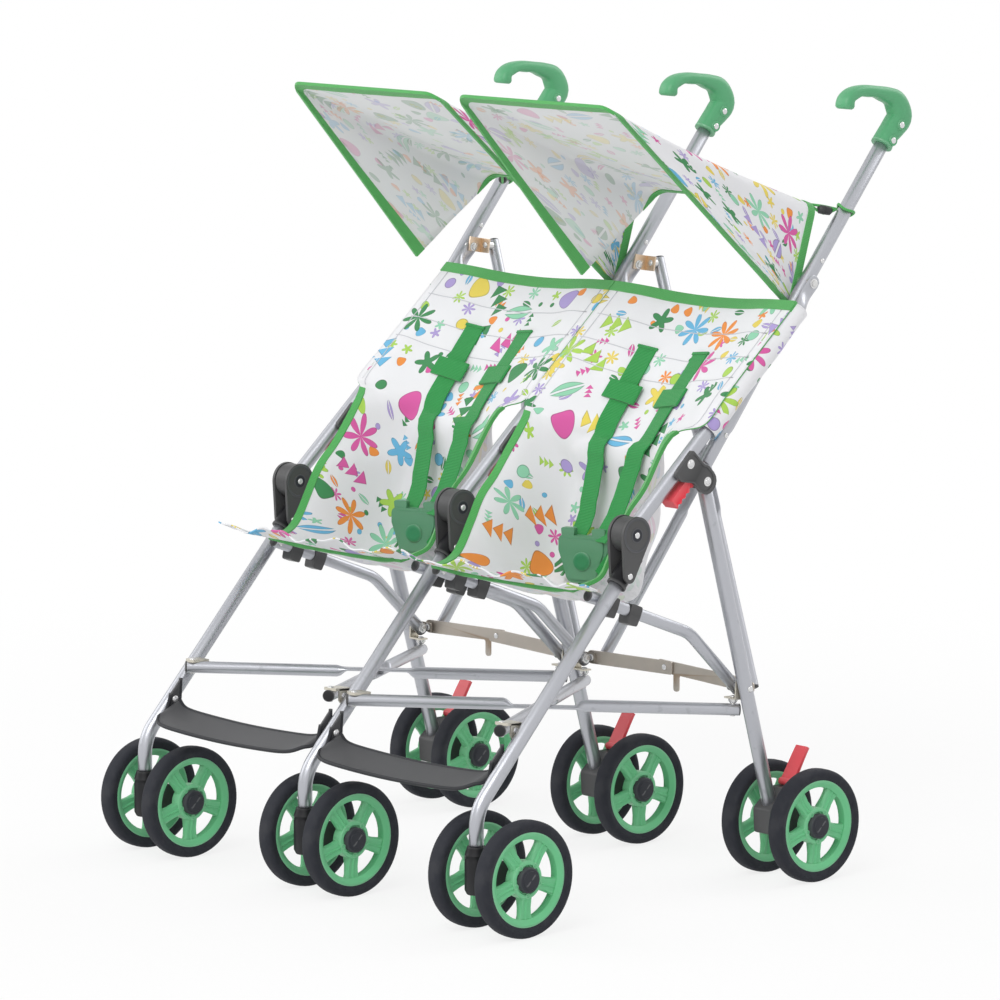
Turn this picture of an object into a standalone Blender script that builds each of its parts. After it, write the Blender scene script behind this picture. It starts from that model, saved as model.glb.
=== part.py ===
"""Double umbrella stroller: three folding side frames, two sling seats, two canopies.

Metres, +Z up, the children face -Y. The origin is on the floor, under the middle of the
stroller. The frames are called left, middle and right as seen from the front.

The frames close sideways. As they do, the rear legs swing forward on the back frames, the front
legs swing forward and up on their knuckles, and the crossed bars under and behind each seat turn
towards the fore-and-aft direction.
"""

import math

import bmesh
import bpy
from mathutils import Matrix, Vector

# Frames and tubes
FRAME_SPACING = 0.336
TUBE_RADIUS = 0.0095
BAR_RADIUS = 0.008
GAP = 0.0003
TUBE_SIDES = 10

# Side view of one frame: y rearwards, z up
KNUCKLE = Vector((-0.1042, 0.4836))
LEG_PIVOT_REACH = 0.1311
LEG_PIVOT_ANGLE = 26.74
HANDLE_ANGLE = 51.1
HANDLE_START = 0.0235
HANDLE_REACH = 0.5298
BRACE_BOLT_REACH = 0.3095
SWIVEL_Y = -0.3635
FRONT_BEND_Z = 0.1596
FRONT_BEND_RADIUS = 0.060
FRONT_LEG_ANGLE = 47.7
REAR_LEG_ANGLE = 74.4
REAR_LEG_SETBACK = 0.0112
REAR_AXLE_Y = 0.1865

# Wheels and casters
WHEEL_RADIUS = 0.075
WHEEL_WIDTH = 0.024
WHEEL_PAIR_SPACING = 0.088
TYRE_DEPTH = 0.0145
RIM_WIDTH = 0.018
HUB_BORE = 0.0045
AXLE_RADIUS = 0.004
AXLE_CLEARANCE = 0.0003
WHEEL_SIDES = 24
WINDOW_COUNT = 5
WINDOW_INNER = 0.024
WINDOW_OUTER = 0.050
HUB_CAP_RADIUS = 0.0165
HUB_CAP_HEIGHT = 0.006
CASTER_TRAIL = 0.040
CASTER_COLLAR_Z = 0.115
CASTER_BARREL_RADIUS = 0.015
CASTER_ARM_WIDTH = 0.036

# Knuckle between back frame and front leg
HUB_RADIUS = 0.0228
HUB_HALF_WIDTH = 0.0105
CHEEK_THICKNESS = 0.0042
CHEEK_RADIUS = 0.0238
CHEEK_FOOT_RADIUS = 0.009
NECK_RADIUS = 0.0125
NECK_REACH = 0.352
NECK_LENGTH = 0.046

# Black bracket on the +X side, and the leg's end fitting behind it
BRACKET_REACH = 0.1215
BRACKET_THICKNESS = 0.0055
BRACKET_OFFSET = 0.0167
RIM_HEIGHT = 0.0015
LEG_FITTING_RADIUS = 0.012

# Red fold latches under the seat-back tubes
LATCH_LENGTH = 0.046
LATCH_HEEL = 0.008
LATCH_SETBACK = 0.014
LATCH_DROP = 0.020
LATCH_THICKNESS = 0.014
LATCH_KNOBS = 5

# Seat-back tube, which leans over to pass beside the handle tube
SEAT_BACK_LEAN = 0.022
PADDLE_THICKNESS = 0.003
PADDLE_OFFSET = 0.0145
PADDLE_LENGTH = 0.022
PADDLE_HALF_WIDTH = 0.010

# Seat rails
RAIL_OFFSET = 0.0210
RAIL_BOLT_REACH = 0.2960
RAIL_FRONT = Vector((-0.1482, 0.4048))
RAIL_BEND = Vector((0.0215, 0.3400))
RAIL_BEND_RADIUS = 0.060
RAIL_OVERHANG = 0.008

# Crossed bars under the seats
SCISSOR_OFFSET = 0.024
SCISSOR_DROP = 0.0313
SCISSOR_FRONT_REACH = 0.1108
SCISSOR_FRONT_LIFT = 0.0151
BAR_OVERHANG = 0.010
PLUG_THICKNESS = 0.002
CROSSING_HALF_LENGTH = 0.040
CROSSING_TAPER = 0.014
FLAT_HALF_HEIGHT = 0.0026
FLAT_HALF_WIDTH = 0.0102
STRAP_THICKNESS = 0.0022
STRAP_HALF_WIDTH = 0.0075
SPACER_RADIUS = 0.0065
SPACER_TIP_RADIUS = 0.004
OPEN_PIVOT_GAP = 0.0007

# Crossed braces behind the seats
BRACE_OFFSET = 0.027
BRACE_CROSSING_HALF_LENGTH = 0.056
BRACE_PIVOT_BACK = 0.0304
BRACE_PIVOT_DROP = 0.0009
BRACE_FOOT_BACK = 0.0370
BRACE_FOOT_LIFT = 0.0018
BRACE_WING_OFFSET = 0.0163
BRACE_SPACER_LENGTH = 0.0062

# Folding lock bars between the rear legs
LOCK_HEIGHT = 0.018
LOCK_THICKNESS = 0.0022
LOCK_OVERLAP = 0.015
LOCK_RISE = 0.005
LOCK_TAB_DROP = 0.022
LOCK_TAB_WIDTH = 0.010
LOCK_EYE_RADIUS = 0.0105
LOCK_BOLT_RADIUS = 0.0035
RAIL_BOLT_RADIUS = 0.0035
TAB_PLATE_THICKNESS = 0.0022
TAB_PLATE_HEIGHT = 0.0125

# Rivet and bolt heads
RIVET_RADIUS = 0.0042
RIVET_HEIGHT = 0.0018
RIVET_ROOT = 0.0016
JOINT_DEPTH = 0.0012
BOLT_RADIUS = 0.0060
BOLT_HEIGHT = 0.0032

# Brakes
BRAKE_HALF_WIDTH = 0.016
BRAKE_LEVER_LENGTH = 0.052
BRAKE_LEVER_ANGLE = 54.0
BRAKE_LEVER_WIDTH = 0.024
BRAKE_LEVER_THICKNESS = 0.005
BRAKE_PIVOT_RISE = 0.052
BRAKE_PIVOT_RADIUS = 0.005

# Handle grips, shaped like an umbrella hook
GRIP_HALF_WIDTH = 0.013
GRIP_COLLAR_RADIUS = 0.0135

# Footrests
FOOTREST_RIVET_Z = 0.209
FOOTREST_EAR_TOP = 0.018
FOOTREST_EAR_WIDTH = 0.026
FOOTREST_DEPTH = 0.054
FOOTREST_THICKNESS = 0.003
FOOTREST_SAG = 0.023
FOOTREST_FORWARD = 0.026
FOOTREST_TILT = 16.0

# Seats
CLOTH_THICKNESS = 0.005
SEAT_PAN_GAP = 0.0253
SEAT_HEM_GAP = 0.0310
SEAT_TUBE_COVER = 0.0147
SEAT_TUBE_WRAP = 0.008
SEAT_SEAM_GAP = 0.0006
SEAT_BRACKET_TOP = 0.150
SEAT_TUBE_START = 0.175
SEAT_TOP_SETBACK = 0.045
SEAT_DEPTH_LOW = 0.048
SEAT_DEPTH_HIGH = 0.010
SEAT_COLUMNS = (0.0, 0.06, 0.16, 0.30, 0.50, 0.70, 0.84, 0.94, 1.0)

# Harness
WEBBING_WIDTH = 0.025
WEBBING_THICKNESS = 0.0022
STRAP_LIFT = 0.0072
BUCKLE_WIDTH = 0.062
BUCKLE_HEIGHT = 0.056
BUCKLE_DEPTH = 0.016
BUCKLE_PLACE = Vector((-0.032, 0.424))
BUCKLE_COLUMN = 0.5
SHOULDER_STRAP = ((10.6, 0.150), (10.0, 0.145), (9.0, 0.135), (8.0, 0.130), (7.0, 0.125), (6.0, 0.120))
WAIST_STRAP = ((4.3, 0.19),)
CROTCH_STRAP = (3.2, 2.5)

# Canopies
CANOPY_THICKNESS = 0.0035
CANOPY_FRONT_TOP = Vector((-0.130, 1.027))
CANOPY_REAR_TOP = Vector((0.236, 0.883))
CANOPY_FRONT_FOOT = Vector((0.092, 0.7790))
CANOPY_CORNER_RADIUS = 0.060
CANOPY_REAR_CORNER_RADIUS = 0.030
CANOPY_STATIONS = 5
CANOPY_SAG = 0.006
CANOPY_PIVOT_SETBACK = 0.027
CANOPY_LUG_RADIUS = 0.006


def heading(degrees):
    """Unit vector in the side view, (y, z), at an angle above the rearward direction."""
    angle = math.radians(degrees)
    return Vector((math.cos(angle), math.sin(angle)))


def across(direction):
    """The direction turned a quarter turn clockwise, so rearward and down for a rising tube."""
    return Vector((direction[1], -direction[0]))


def at(x, point):
    """The 3D point over a side-view point."""
    return Vector((x, point[0], point[1]))


# Side-view points that follow from the dimensions
LEG_PIVOT = KNUCKLE + LEG_PIVOT_REACH * heading(LEG_PIVOT_ANGLE)
HANDLE_DIRECTION = heading(HANDLE_ANGLE)
HANDLE_TOP = LEG_PIVOT + HANDLE_REACH * HANDLE_DIRECTION
BRACE_BOLT = LEG_PIVOT + BRACE_BOLT_REACH * HANDLE_DIRECTION
SEAT_BACK_DIRECTION = (BRACE_BOLT - KNUCKLE).normalized()
SEAT_BACK_LENGTH = (BRACE_BOLT - KNUCKLE).length
BRACKET_RIVET = KNUCKLE + BRACKET_REACH * SEAT_BACK_DIRECTION
REAR_LEG_DOWN = heading(-REAR_LEG_ANGLE)
REAR_LEG_TOP = LEG_PIVOT - REAR_LEG_SETBACK * across(REAR_LEG_DOWN)
RAIL_BOLT = REAR_LEG_TOP + RAIL_BOLT_REACH * REAR_LEG_DOWN
AXLE_HEIGHT = WHEEL_RADIUS * math.cos(math.pi / WHEEL_SIDES)
REAR_AXLE = Vector((REAR_AXLE_Y, AXLE_HEIGHT))
FRONT_AXLE = Vector((SWIVEL_Y + CASTER_TRAIL, AXLE_HEIGHT))
FRONT_BEND = Vector((SWIVEL_Y, FRONT_BEND_Z))
FRONT_LEG_UP = heading(FRONT_LEG_ANGLE)
FRONT_BOLT = FRONT_BEND + SCISSOR_FRONT_REACH * FRONT_LEG_UP
SCISSOR_REAR = RAIL_BOLT - Vector((0.0, SCISSOR_DROP))
SCISSOR_FRONT = FRONT_BOLT - SCISSOR_FRONT_LIFT * across(FRONT_LEG_UP)
BRACE_TOP = BRACE_BOLT + Vector((BRACE_PIVOT_BACK, -BRACE_PIVOT_DROP))
BRACE_FOOT = RAIL_BOLT + Vector((BRACE_FOOT_BACK, BRACE_FOOT_LIFT))
CANOPY_PIVOT = BRACE_BOLT - CANOPY_PIVOT_SETBACK * SEAT_BACK_DIRECTION

FRAMES = (("left", -FRAME_SPACING), ("middle", 0.0), ("right", FRAME_SPACING))
SEATS = (("left", -1.0), ("right", 1.0))
MATERIALS = {
    "satin_aluminium": ((0.62, 0.63, 0.66), 0.32, 0.9),
    "black_plastic": ((0.012, 0.012, 0.015), 0.45, 0.0),
    "green_plastic": ((0.10, 0.42, 0.20), 0.38, 0.0),
    "mint_plastic": ((0.11, 0.48, 0.22), 0.40, 0.0),
    "red_plastic": ((0.80, 0.01, 0.03), 0.40, 0.0),
    "tyre_foam": ((0.018, 0.018, 0.026), 0.80, 0.0),
    "bronze_steel": ((0.29, 0.22, 0.16), 0.45, 0.8),
    "zinc_steel": ((0.55, 0.50, 0.38), 0.35, 0.9),
    "copper_steel": ((0.75, 0.42, 0.19), 0.35, 0.8),
    "white_plastic": ((0.85, 0.85, 0.85), 0.50, 0.0),
    "white_cloth": ((0.82, 0.82, 0.84), 0.90, 0.0),
    "green_webbing": ((0.02, 0.26, 0.05), 0.85, 0.0),
}


# Building blocks: each returns one closed body as a bmesh

def closed(mesh):
    """The body with its faces pointing out."""
    bmesh.ops.recalc_face_normals(mesh, faces=mesh.faces)
    if mesh.calc_volume(signed=True) < 0:
        bmesh.ops.reverse_faces(mesh, faces=mesh.faces)
    return mesh


def loft(rings, looped=False):
    """A body through rings of points: capped at both ends, or looped back to its start."""
    mesh = bmesh.new()
    rows = [[mesh.verts.new(point) for point in ring] for ring in rings]
    pairs = list(zip(rows, rows[1:]))
    if looped:
        pairs.append((rows[-1], rows[0]))
    count = len(rows[0])
    for first, second in pairs:
        for index in range(count):
            following = (index + 1) % count
            mesh.faces.new((first[index], first[following], second[following], second[index]))
    if not looped:
        mesh.faces.new(rows[0])
        mesh.faces.new(rows[-1])
    return closed(mesh)


def circle(centre, first, second, half_first, half_second, sides):
    """Points of an ellipse in the plane of two directions, with a flat side at the bottom."""
    ring = []
    for index in range(sides):
        angle = 2 * math.pi * (index + 0.5) / sides
        ring.append(centre + first * half_first * math.cos(angle) + second * half_second * math.sin(angle))
    return ring


def sweep(stations, side, sides=TUBE_SIDES):
    """A rod through stations of (point, half width along side, half height across it)."""
    points = [station[0] for station in stations]
    rings = []
    for index, (point, half_width, half_height) in enumerate(stations):
        before = points[max(index - 1, 0)]
        after = points[min(index + 1, len(points) - 1)]
        tangent = (after - before).normalized()
        first = (side - tangent * side.dot(tangent)).normalized()
        rings.append(circle(point, first, tangent.cross(first), half_width, half_height, sides))
    return loft(rings)


def tube(points, radius, side, sides=TUBE_SIDES):
    """A round tube through points."""
    return sweep([(point, radius, radius) for point in points], side, sides)


def strip(stations, thickness):
    """A flat band through stations of (point, half-width vector)."""
    rings = []
    for index, (point, half_width) in enumerate(stations):
        before = stations[max(index - 1, 0)][0]
        after = stations[min(index + 1, len(stations) - 1)][0]
        lift = (after - before).cross(half_width).normalized() * thickness / 2
        rings.append([point - half_width - lift, point + half_width - lift,
                      point + half_width + lift, point - half_width + lift])
    return loft(rings)


def bent(points, radius, steps=4):
    """Side-view points with each inner corner replaced by an arc."""
    path = [points[0]]
    for before, corner, after in zip(points, points[1:], points[2:]):
        inward = (before - corner).normalized()
        outward = (after - corner).normalized()
        half = inward.angle(outward) / 2
        centre = corner + (inward + outward).normalized() * radius / math.sin(half)
        start = corner + inward * radius / math.tan(half)
        end = corner + outward * radius / math.tan(half)
        sweep_angle = math.pi - 2 * half
        turn = (start - centre).angle_signed(end - centre)
        sign = math.copysign(1.0, turn)
        for step in range(steps + 1):
            angle = -sign * sweep_angle * step / steps
            path.append(centre + Matrix.Rotation(angle, 2) @ (start - centre))
    path.append(points[-1])
    return path


def rounded(corners, steps=3):
    """An outline whose corners, (a, b, radius), are rounded by arcs."""
    outline = []
    count = len(corners)
    for index, (a, b, radius) in enumerate(corners):
        corner = Vector((a, b))
        if radius == 0:
            outline.append(corner)
            continue
        before = Vector(corners[index - 1][:2])
        after = Vector(corners[(index + 1) % count][:2])
        outline.extend(bent([before, corner, after], radius, steps)[1:-1])
    return outline


def turned(profile, base, axis, sides=10):
    """A solid of revolution from (radius, height) pairs, capped at both ends."""
    first, second = square_to(axis)
    return loft([circle(base + axis * height, first, second, radius, radius, sides)
                 for radius, height in profile])


def turned_ring(profile, base, axis, sides):
    """A ring of revolution from a loop of (radius, height) pairs."""
    first, second = square_to(axis)
    return loft([circle(base + axis * height, first, second, radius, radius, sides)
                 for radius, height in profile], looped=True)


def square_to(axis):
    """Two directions at right angles to an axis; the second points up where it can."""
    up = Vector((0, 0, 1)) if abs(axis.z) < 0.9 else Vector((0, 1, 0))
    first = up.cross(axis).normalized()
    return first, axis.cross(first).normalized()


def extruded(outline, origin, first, second, depth):
    """A plate: an outline in the plane of two directions, pushed along depth."""
    ring = [origin + first * a + second * b for a, b in outline]
    return loft([ring, [point + depth for point in ring]])


def box(low, high):
    """An upright box between two corners."""
    outline = [(low[0], low[1]), (high[0], low[1]), (high[0], high[1]), (low[0], high[1])]
    return extruded(outline, Vector((0, 0, low[2])), Vector((1, 0, 0)), Vector((0, 1, 0)),
                    Vector((0, 0, high[2] - low[2])))


def rivet(base, axis, radius=RIVET_RADIUS, height=RIVET_HEIGHT):
    """A domed head on a surface at base, with its shank let into the surface."""
    return turned(((radius, -RIVET_ROOT), (radius * 0.75, height)), base, axis, sides=8)


def pin(base, axis, start, end, radius, sides=8):
    """A plain pin or spacer between two heights over base, along an axis."""
    return turned(((radius, start), (radius, end)), base, axis, sides)


def hull(rings):
    """The convex body round rings of points."""
    mesh = bmesh.new()
    for ring in rings:
        for point in ring:
            mesh.verts.new(point)
    bmesh.ops.convex_hull(mesh, input=mesh.verts)
    loose = [vert for vert in mesh.verts if not vert.link_faces]
    bmesh.ops.delete(mesh, geom=loose, context="VERTS")
    return closed(mesh)


def as_object(mesh):
    """A temporary object that holds a body."""
    data = bpy.data.meshes.new("temporary")
    mesh.to_mesh(data)
    mesh.free()
    thing = bpy.data.objects.new("temporary", data)
    bpy.context.scene.collection.objects.link(thing)
    return thing


def combined(target, tools, operation):
    """The target joined with the tools, or cut by them."""
    base = as_object(target)
    helpers = [as_object(tool) for tool in tools]
    for helper in helpers:
        modifier = base.modifiers.new("combine", "BOOLEAN")
        modifier.operation = operation
        modifier.solver = "EXACT"
        modifier.object = helper
    depsgraph = bpy.context.evaluated_depsgraph_get()
    result = bmesh.new()
    result.from_object(base, depsgraph)
    for thing in [base, *helpers]:
        data = thing.data
        bpy.data.objects.remove(thing)
        bpy.data.meshes.remove(data)
    return closed(result)


def fused(target, *tools):
    """One body from several that meet."""
    return combined(target, tools, "UNION")


def cut(target, *tools):
    """The target less the tools."""
    return combined(target, tools, "DIFFERENCE")


def material(name):
    """The named material, made once."""
    existing = bpy.data.materials.get(name)
    if existing:
        return existing
    color, roughness, metallic = MATERIALS[name]
    made = bpy.data.materials.new(name)
    made.use_nodes = True
    shader = made.node_tree.nodes["Principled BSDF"]
    shader.inputs["Base Color"].default_value = (*color, 1.0)
    shader.inputs["Roughness"].default_value = roughness
    shader.inputs["Metallic"].default_value = metallic
    made.diffuse_color = (*color, 1.0)
    return made


class Node:
    """One named sub-part: bodies fused into one object, placed at its joint axis."""

    def __init__(self, name, material_name, origin=Vector((0, 0, 0))):
        self.name = name
        self.material_name = material_name
        self.origin = Vector(origin)
        self.bodies = []

    def add(self, *bodies):
        """Add bodies that meet what is already there."""
        self.bodies.extend(bodies)

    def finish(self):
        """Fuse the bodies and make the object, smooth across shallow edges."""
        mesh = self.bodies[0]
        if len(self.bodies) > 1:
            mesh = fused(mesh, *self.bodies[1:])
        data = bpy.data.meshes.new(self.name)
        bmesh.ops.translate(mesh, verts=mesh.verts, vec=-self.origin)
        mesh.to_mesh(data)
        mesh.free()
        data.materials.append(material(self.material_name))
        data.shade_smooth()
        data.set_sharp_from_angle(angle=math.radians(40))
        return place(self.name, data, self.origin)


def place(name, data, origin):
    """An object of the given mesh at its origin."""
    thing = bpy.data.objects.new(name, data)
    thing.location = origin
    bpy.context.scene.collection.objects.link(thing)
    return thing


X = Vector((1, 0, 0))
Y = Vector((0, 1, 0))
Z = Vector((0, 0, 1))


def side_axis(direction):
    """A side-view direction as a 3D one."""
    return Vector((0, direction[0], direction[1]))


def lean(reach):
    """How far the seat-back tube stands to +X of its frame, at a distance from the knuckle."""
    return SEAT_BACK_LEAN * reach / SEAT_BACK_LENGTH


def seat_back_point(x, reach):
    """A point on the axis of a seat-back tube."""
    return at(x + lean(reach), KNUCKLE + reach * SEAT_BACK_DIRECTION)


# Side frames

def back_frame(name, x, inner_sides):
    """Handle tube and seat-back tube, joined at the top where they pass, and the knuckle's hub."""
    node = Node(f"back_frame_{name}", "satin_aluminium")
    start = at(x, LEG_PIVOT + HANDLE_START * HANDLE_DIRECTION)
    handle = tube([start, at(x, HANDLE_TOP)], TUBE_RADIUS, X)

    paddle_start = SEAT_BACK_LENGTH - 2 * PADDLE_LENGTH
    paddle = at(x + PADDLE_OFFSET, BRACE_BOLT - PADDLE_LENGTH * 0.75 * SEAT_BACK_DIRECTION)
    paddle_end = at(x + PADDLE_OFFSET, BRACE_BOLT + PADDLE_HALF_WIDTH * SEAT_BACK_DIRECTION)
    half_thickness = PADDLE_THICKNESS / 2
    stations = [
        (seat_back_point(x, HUB_RADIUS * 0.6), TUBE_RADIUS, TUBE_RADIUS),
        (seat_back_point(x, paddle_start), TUBE_RADIUS, TUBE_RADIUS),
        (paddle, half_thickness, PADDLE_HALF_WIDTH),
        (paddle_end, half_thickness, PADDLE_HALF_WIDTH * 0.7),
    ]
    seat_back = sweep(stations, X)
    hub = turned(((HUB_RADIUS, -HUB_HALF_WIDTH), (HUB_RADIUS, HUB_HALF_WIDTH)), at(x, KNUCKLE), X, sides=16)
    bolt = at(x, BRACE_BOLT)
    root = TUBE_RADIUS - 2 * JOINT_DEPTH
    spacer = pin(bolt, X, root, PADDLE_OFFSET, SPACER_RADIUS)
    node.add(handle, spacer, seat_back, hub)
    if -1.0 in inner_sides:
        node.add(pin(bolt, -X, root, BRACE_WING_OFFSET - GAP, SPACER_RADIUS))
    if 1.0 not in inner_sides:
        outer_face = at(x + PADDLE_OFFSET + half_thickness, BRACE_BOLT)
        node.add(rivet(outer_face, X, BOLT_RADIUS, BOLT_HEIGHT))
    return node.finish()


def bracket_outline():
    """The bracket's boot shape, along and across the seat-back tube from its upper rivet."""
    return rounded((
        (-0.027, -0.011, 0.004), (0.015, -0.011, 0.004), (0.0155, 0.018, 0.006),
        (0.0195, 0.026, 0.006), (0.0195, 0.054, 0.0155), (-0.0135, 0.054, 0.0155),
        (-0.0135, 0.022, 0.008), (-0.027, 0.004, 0.005)))


def fold_bracket(name, x):
    """Black plate that ties the two tubes and carries the rear leg on a boss."""
    node = Node(f"fold_bracket_{name}", "black_plastic")
    along = side_axis(SEAT_BACK_DIRECTION)
    down = side_axis(across(SEAT_BACK_DIRECTION))
    base = at(x + BRACKET_OFFSET, BRACKET_RIVET)
    plate = extruded(bracket_outline(), base, along, down, X * BRACKET_THICKNESS)
    boss = pin(at(x, LEG_PIVOT), X, TUBE_RADIUS + GAP, BRACKET_OFFSET + JOINT_DEPTH, LEG_FITTING_RADIUS * 0.8)
    node.add(plate, boss)
    face = BRACKET_OFFSET + BRACKET_THICKNESS
    for point in (BRACKET_RIVET, LEG_PIVOT):
        node.add(rivet(at(x + face, point), X))
    return node.finish()


def latch(name, x):
    """Red fold latch under the seat-back tube, with knobs for the fingers."""
    pivot_reach = BRACKET_REACH - LATCH_SETBACK
    pivot = KNUCKLE + pivot_reach * SEAT_BACK_DIRECTION + LATCH_DROP * across(SEAT_BACK_DIRECTION)
    node = Node(f"latch_{name}", "red_plastic", at(x, pivot))
    tip = LATCH_LENGTH - LATCH_HEEL
    corners = []
    for index in range(LATCH_KNOBS * 4):
        share = index / (LATCH_KNOBS * 4 - 1)
        height = LATCH_THICKNESS / 2 + 0.0015 * math.cos(2 * math.pi * LATCH_KNOBS * share)
        corners.append((LATCH_HEEL - LATCH_LENGTH * share, height, 0.0))
    corners += [(-tip, -LATCH_THICKNESS / 2, 0.003), (LATCH_HEEL, -LATCH_THICKNESS / 2, 0.003)]
    outline = rounded(corners)
    along = side_axis(SEAT_BACK_DIRECTION)
    down = side_axis(across(SEAT_BACK_DIRECTION))
    inner = at(x - 0.007, pivot)
    depth = X * (0.007 + BRACKET_OFFSET - GAP)
    node.add(extruded(outline, inner, along, down, depth))
    return node.finish()


def grip(name, x):
    """Umbrella-hook grip: a socket on the tube and a hook that curls forward."""
    node = Node(f"grip_{name}", "green_plastic")
    up = HANDLE_DIRECTION
    rear = across(up)
    top = HANDLE_TOP
    spine = (
        (top + (GAP) * up, 0.0135, GRIP_COLLAR_RADIUS),
        (top + 0.014 * up, 0.0135, GRIP_HALF_WIDTH),
        (top + 0.034 * up + 0.003 * rear, 0.0165, GRIP_HALF_WIDTH),
        (top + 0.050 * up + 0.003 * rear, 0.0175, GRIP_HALF_WIDTH),
        (top + Vector((0.0250, 0.0565)), 0.0150, GRIP_HALF_WIDTH),
        (top + Vector((0.0085, 0.0655)), 0.0110, GRIP_HALF_WIDTH * 0.92),
        (top + Vector((-0.0120, 0.0705)), 0.0085, GRIP_HALF_WIDTH * 0.88),
        (top + Vector((-0.0340, 0.0730)), 0.0080, GRIP_HALF_WIDTH * 0.88),
        (top + Vector((-0.0540, 0.0705)), 0.0085, GRIP_HALF_WIDTH * 0.92),
        (top + Vector((-0.0655, 0.0625)), 0.0095, GRIP_HALF_WIDTH),
        (top + Vector((-0.0680, 0.0510)), 0.0105, GRIP_HALF_WIDTH),
    )
    stations = [(at(x, point), width, half) for point, half, width in spine]
    node.add(sweep(stations, X))
    for reach in (0.010, 0.036):
        centre = at(x + GRIP_HALF_WIDTH, top + reach * up + 0.003 * rear)
        node.add(rivet(centre, X, RIVET_RADIUS * 1.2))
    return node.finish()


def rail_path():
    """Side-view path of a seat rail, from the front pivot to past the leg's bolt."""
    end = RAIL_BOLT + (RAIL_BOLT - RAIL_BEND).normalized() * RAIL_OVERHANG
    start = RAIL_FRONT + (RAIL_FRONT - RAIL_BEND).normalized() * RAIL_OVERHANG
    return bent([start, RAIL_BEND, end], RAIL_BEND_RADIUS)


def leg_back_y():
    """The rearmost y of the rear leg at the height of the lock bars."""
    return RAIL_BOLT[0] + TUBE_RADIUS / math.sin(math.radians(REAR_LEG_ANGLE))


def lock_layers():
    """y of the tab plate's front, of the two lock layers' fronts, and of the rear stop."""
    tab = leg_back_y() + GAP
    first = tab + TAB_PLATE_THICKNESS + GAP
    second = first + LOCK_THICKNESS + GAP
    return tab, first, second, second + LOCK_THICKNESS + GAP


def brace_tube_front():
    """y of the front of the brace's foot, at the height of its pivot."""
    brace = (BRACE_TOP - BRACE_FOOT).normalized()
    return BRACE_FOOT[0] - BAR_RADIUS / brace[1]


def hanging_strap(x, side):
    """Steel strap that hangs from the rail bolt and turns out over the end of a bar."""
    forward, up = scissor_directions()
    drop = (RAIL_BOLT - SCISSOR_REAR).dot(up)
    foot_top = strap_foot_top()
    inner = TUBE_RADIUS + GAP
    outer = SCISSOR_OFFSET + STRAP_HALF_WIDTH
    outline = (
        (inner, drop + STRAP_HALF_WIDTH), (inner + STRAP_THICKNESS, drop + STRAP_HALF_WIDTH),
        (inner + STRAP_THICKNESS, foot_top), (outer, foot_top),
        (outer, foot_top - STRAP_THICKNESS), (inner, foot_top - STRAP_THICKNESS))
    shift = (RAIL_BOLT - SCISSOR_REAR).dot(forward) - STRAP_HALF_WIDTH
    base = at(x, SCISSOR_REAR + shift * forward)
    depth = side_axis(forward) * 2 * STRAP_HALF_WIDTH
    strap = extruded(outline, base, X * side, side_axis(up), depth)
    eye = at(x + side * SCISSOR_OFFSET, SCISSOR_REAR)
    low = BAR_RADIUS + OPEN_PIVOT_GAP
    spacer = turned(((SPACER_TIP_RADIUS, low), (SPACER_RADIUS, low + 0.003),
                     (SPACER_RADIUS, foot_top - STRAP_THICKNESS + JOINT_DEPTH)), eye, side_axis(up))
    head = rivet(eye + side_axis(up) * foot_top, side_axis(up))
    return strap, spacer, head


def strap_foot_top():
    """Height of the strap's foot over the axis of the bar under it."""
    return BAR_RADIUS + OPEN_PIVOT_GAP + BRACE_SPACER_LENGTH + STRAP_THICKNESS


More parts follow.
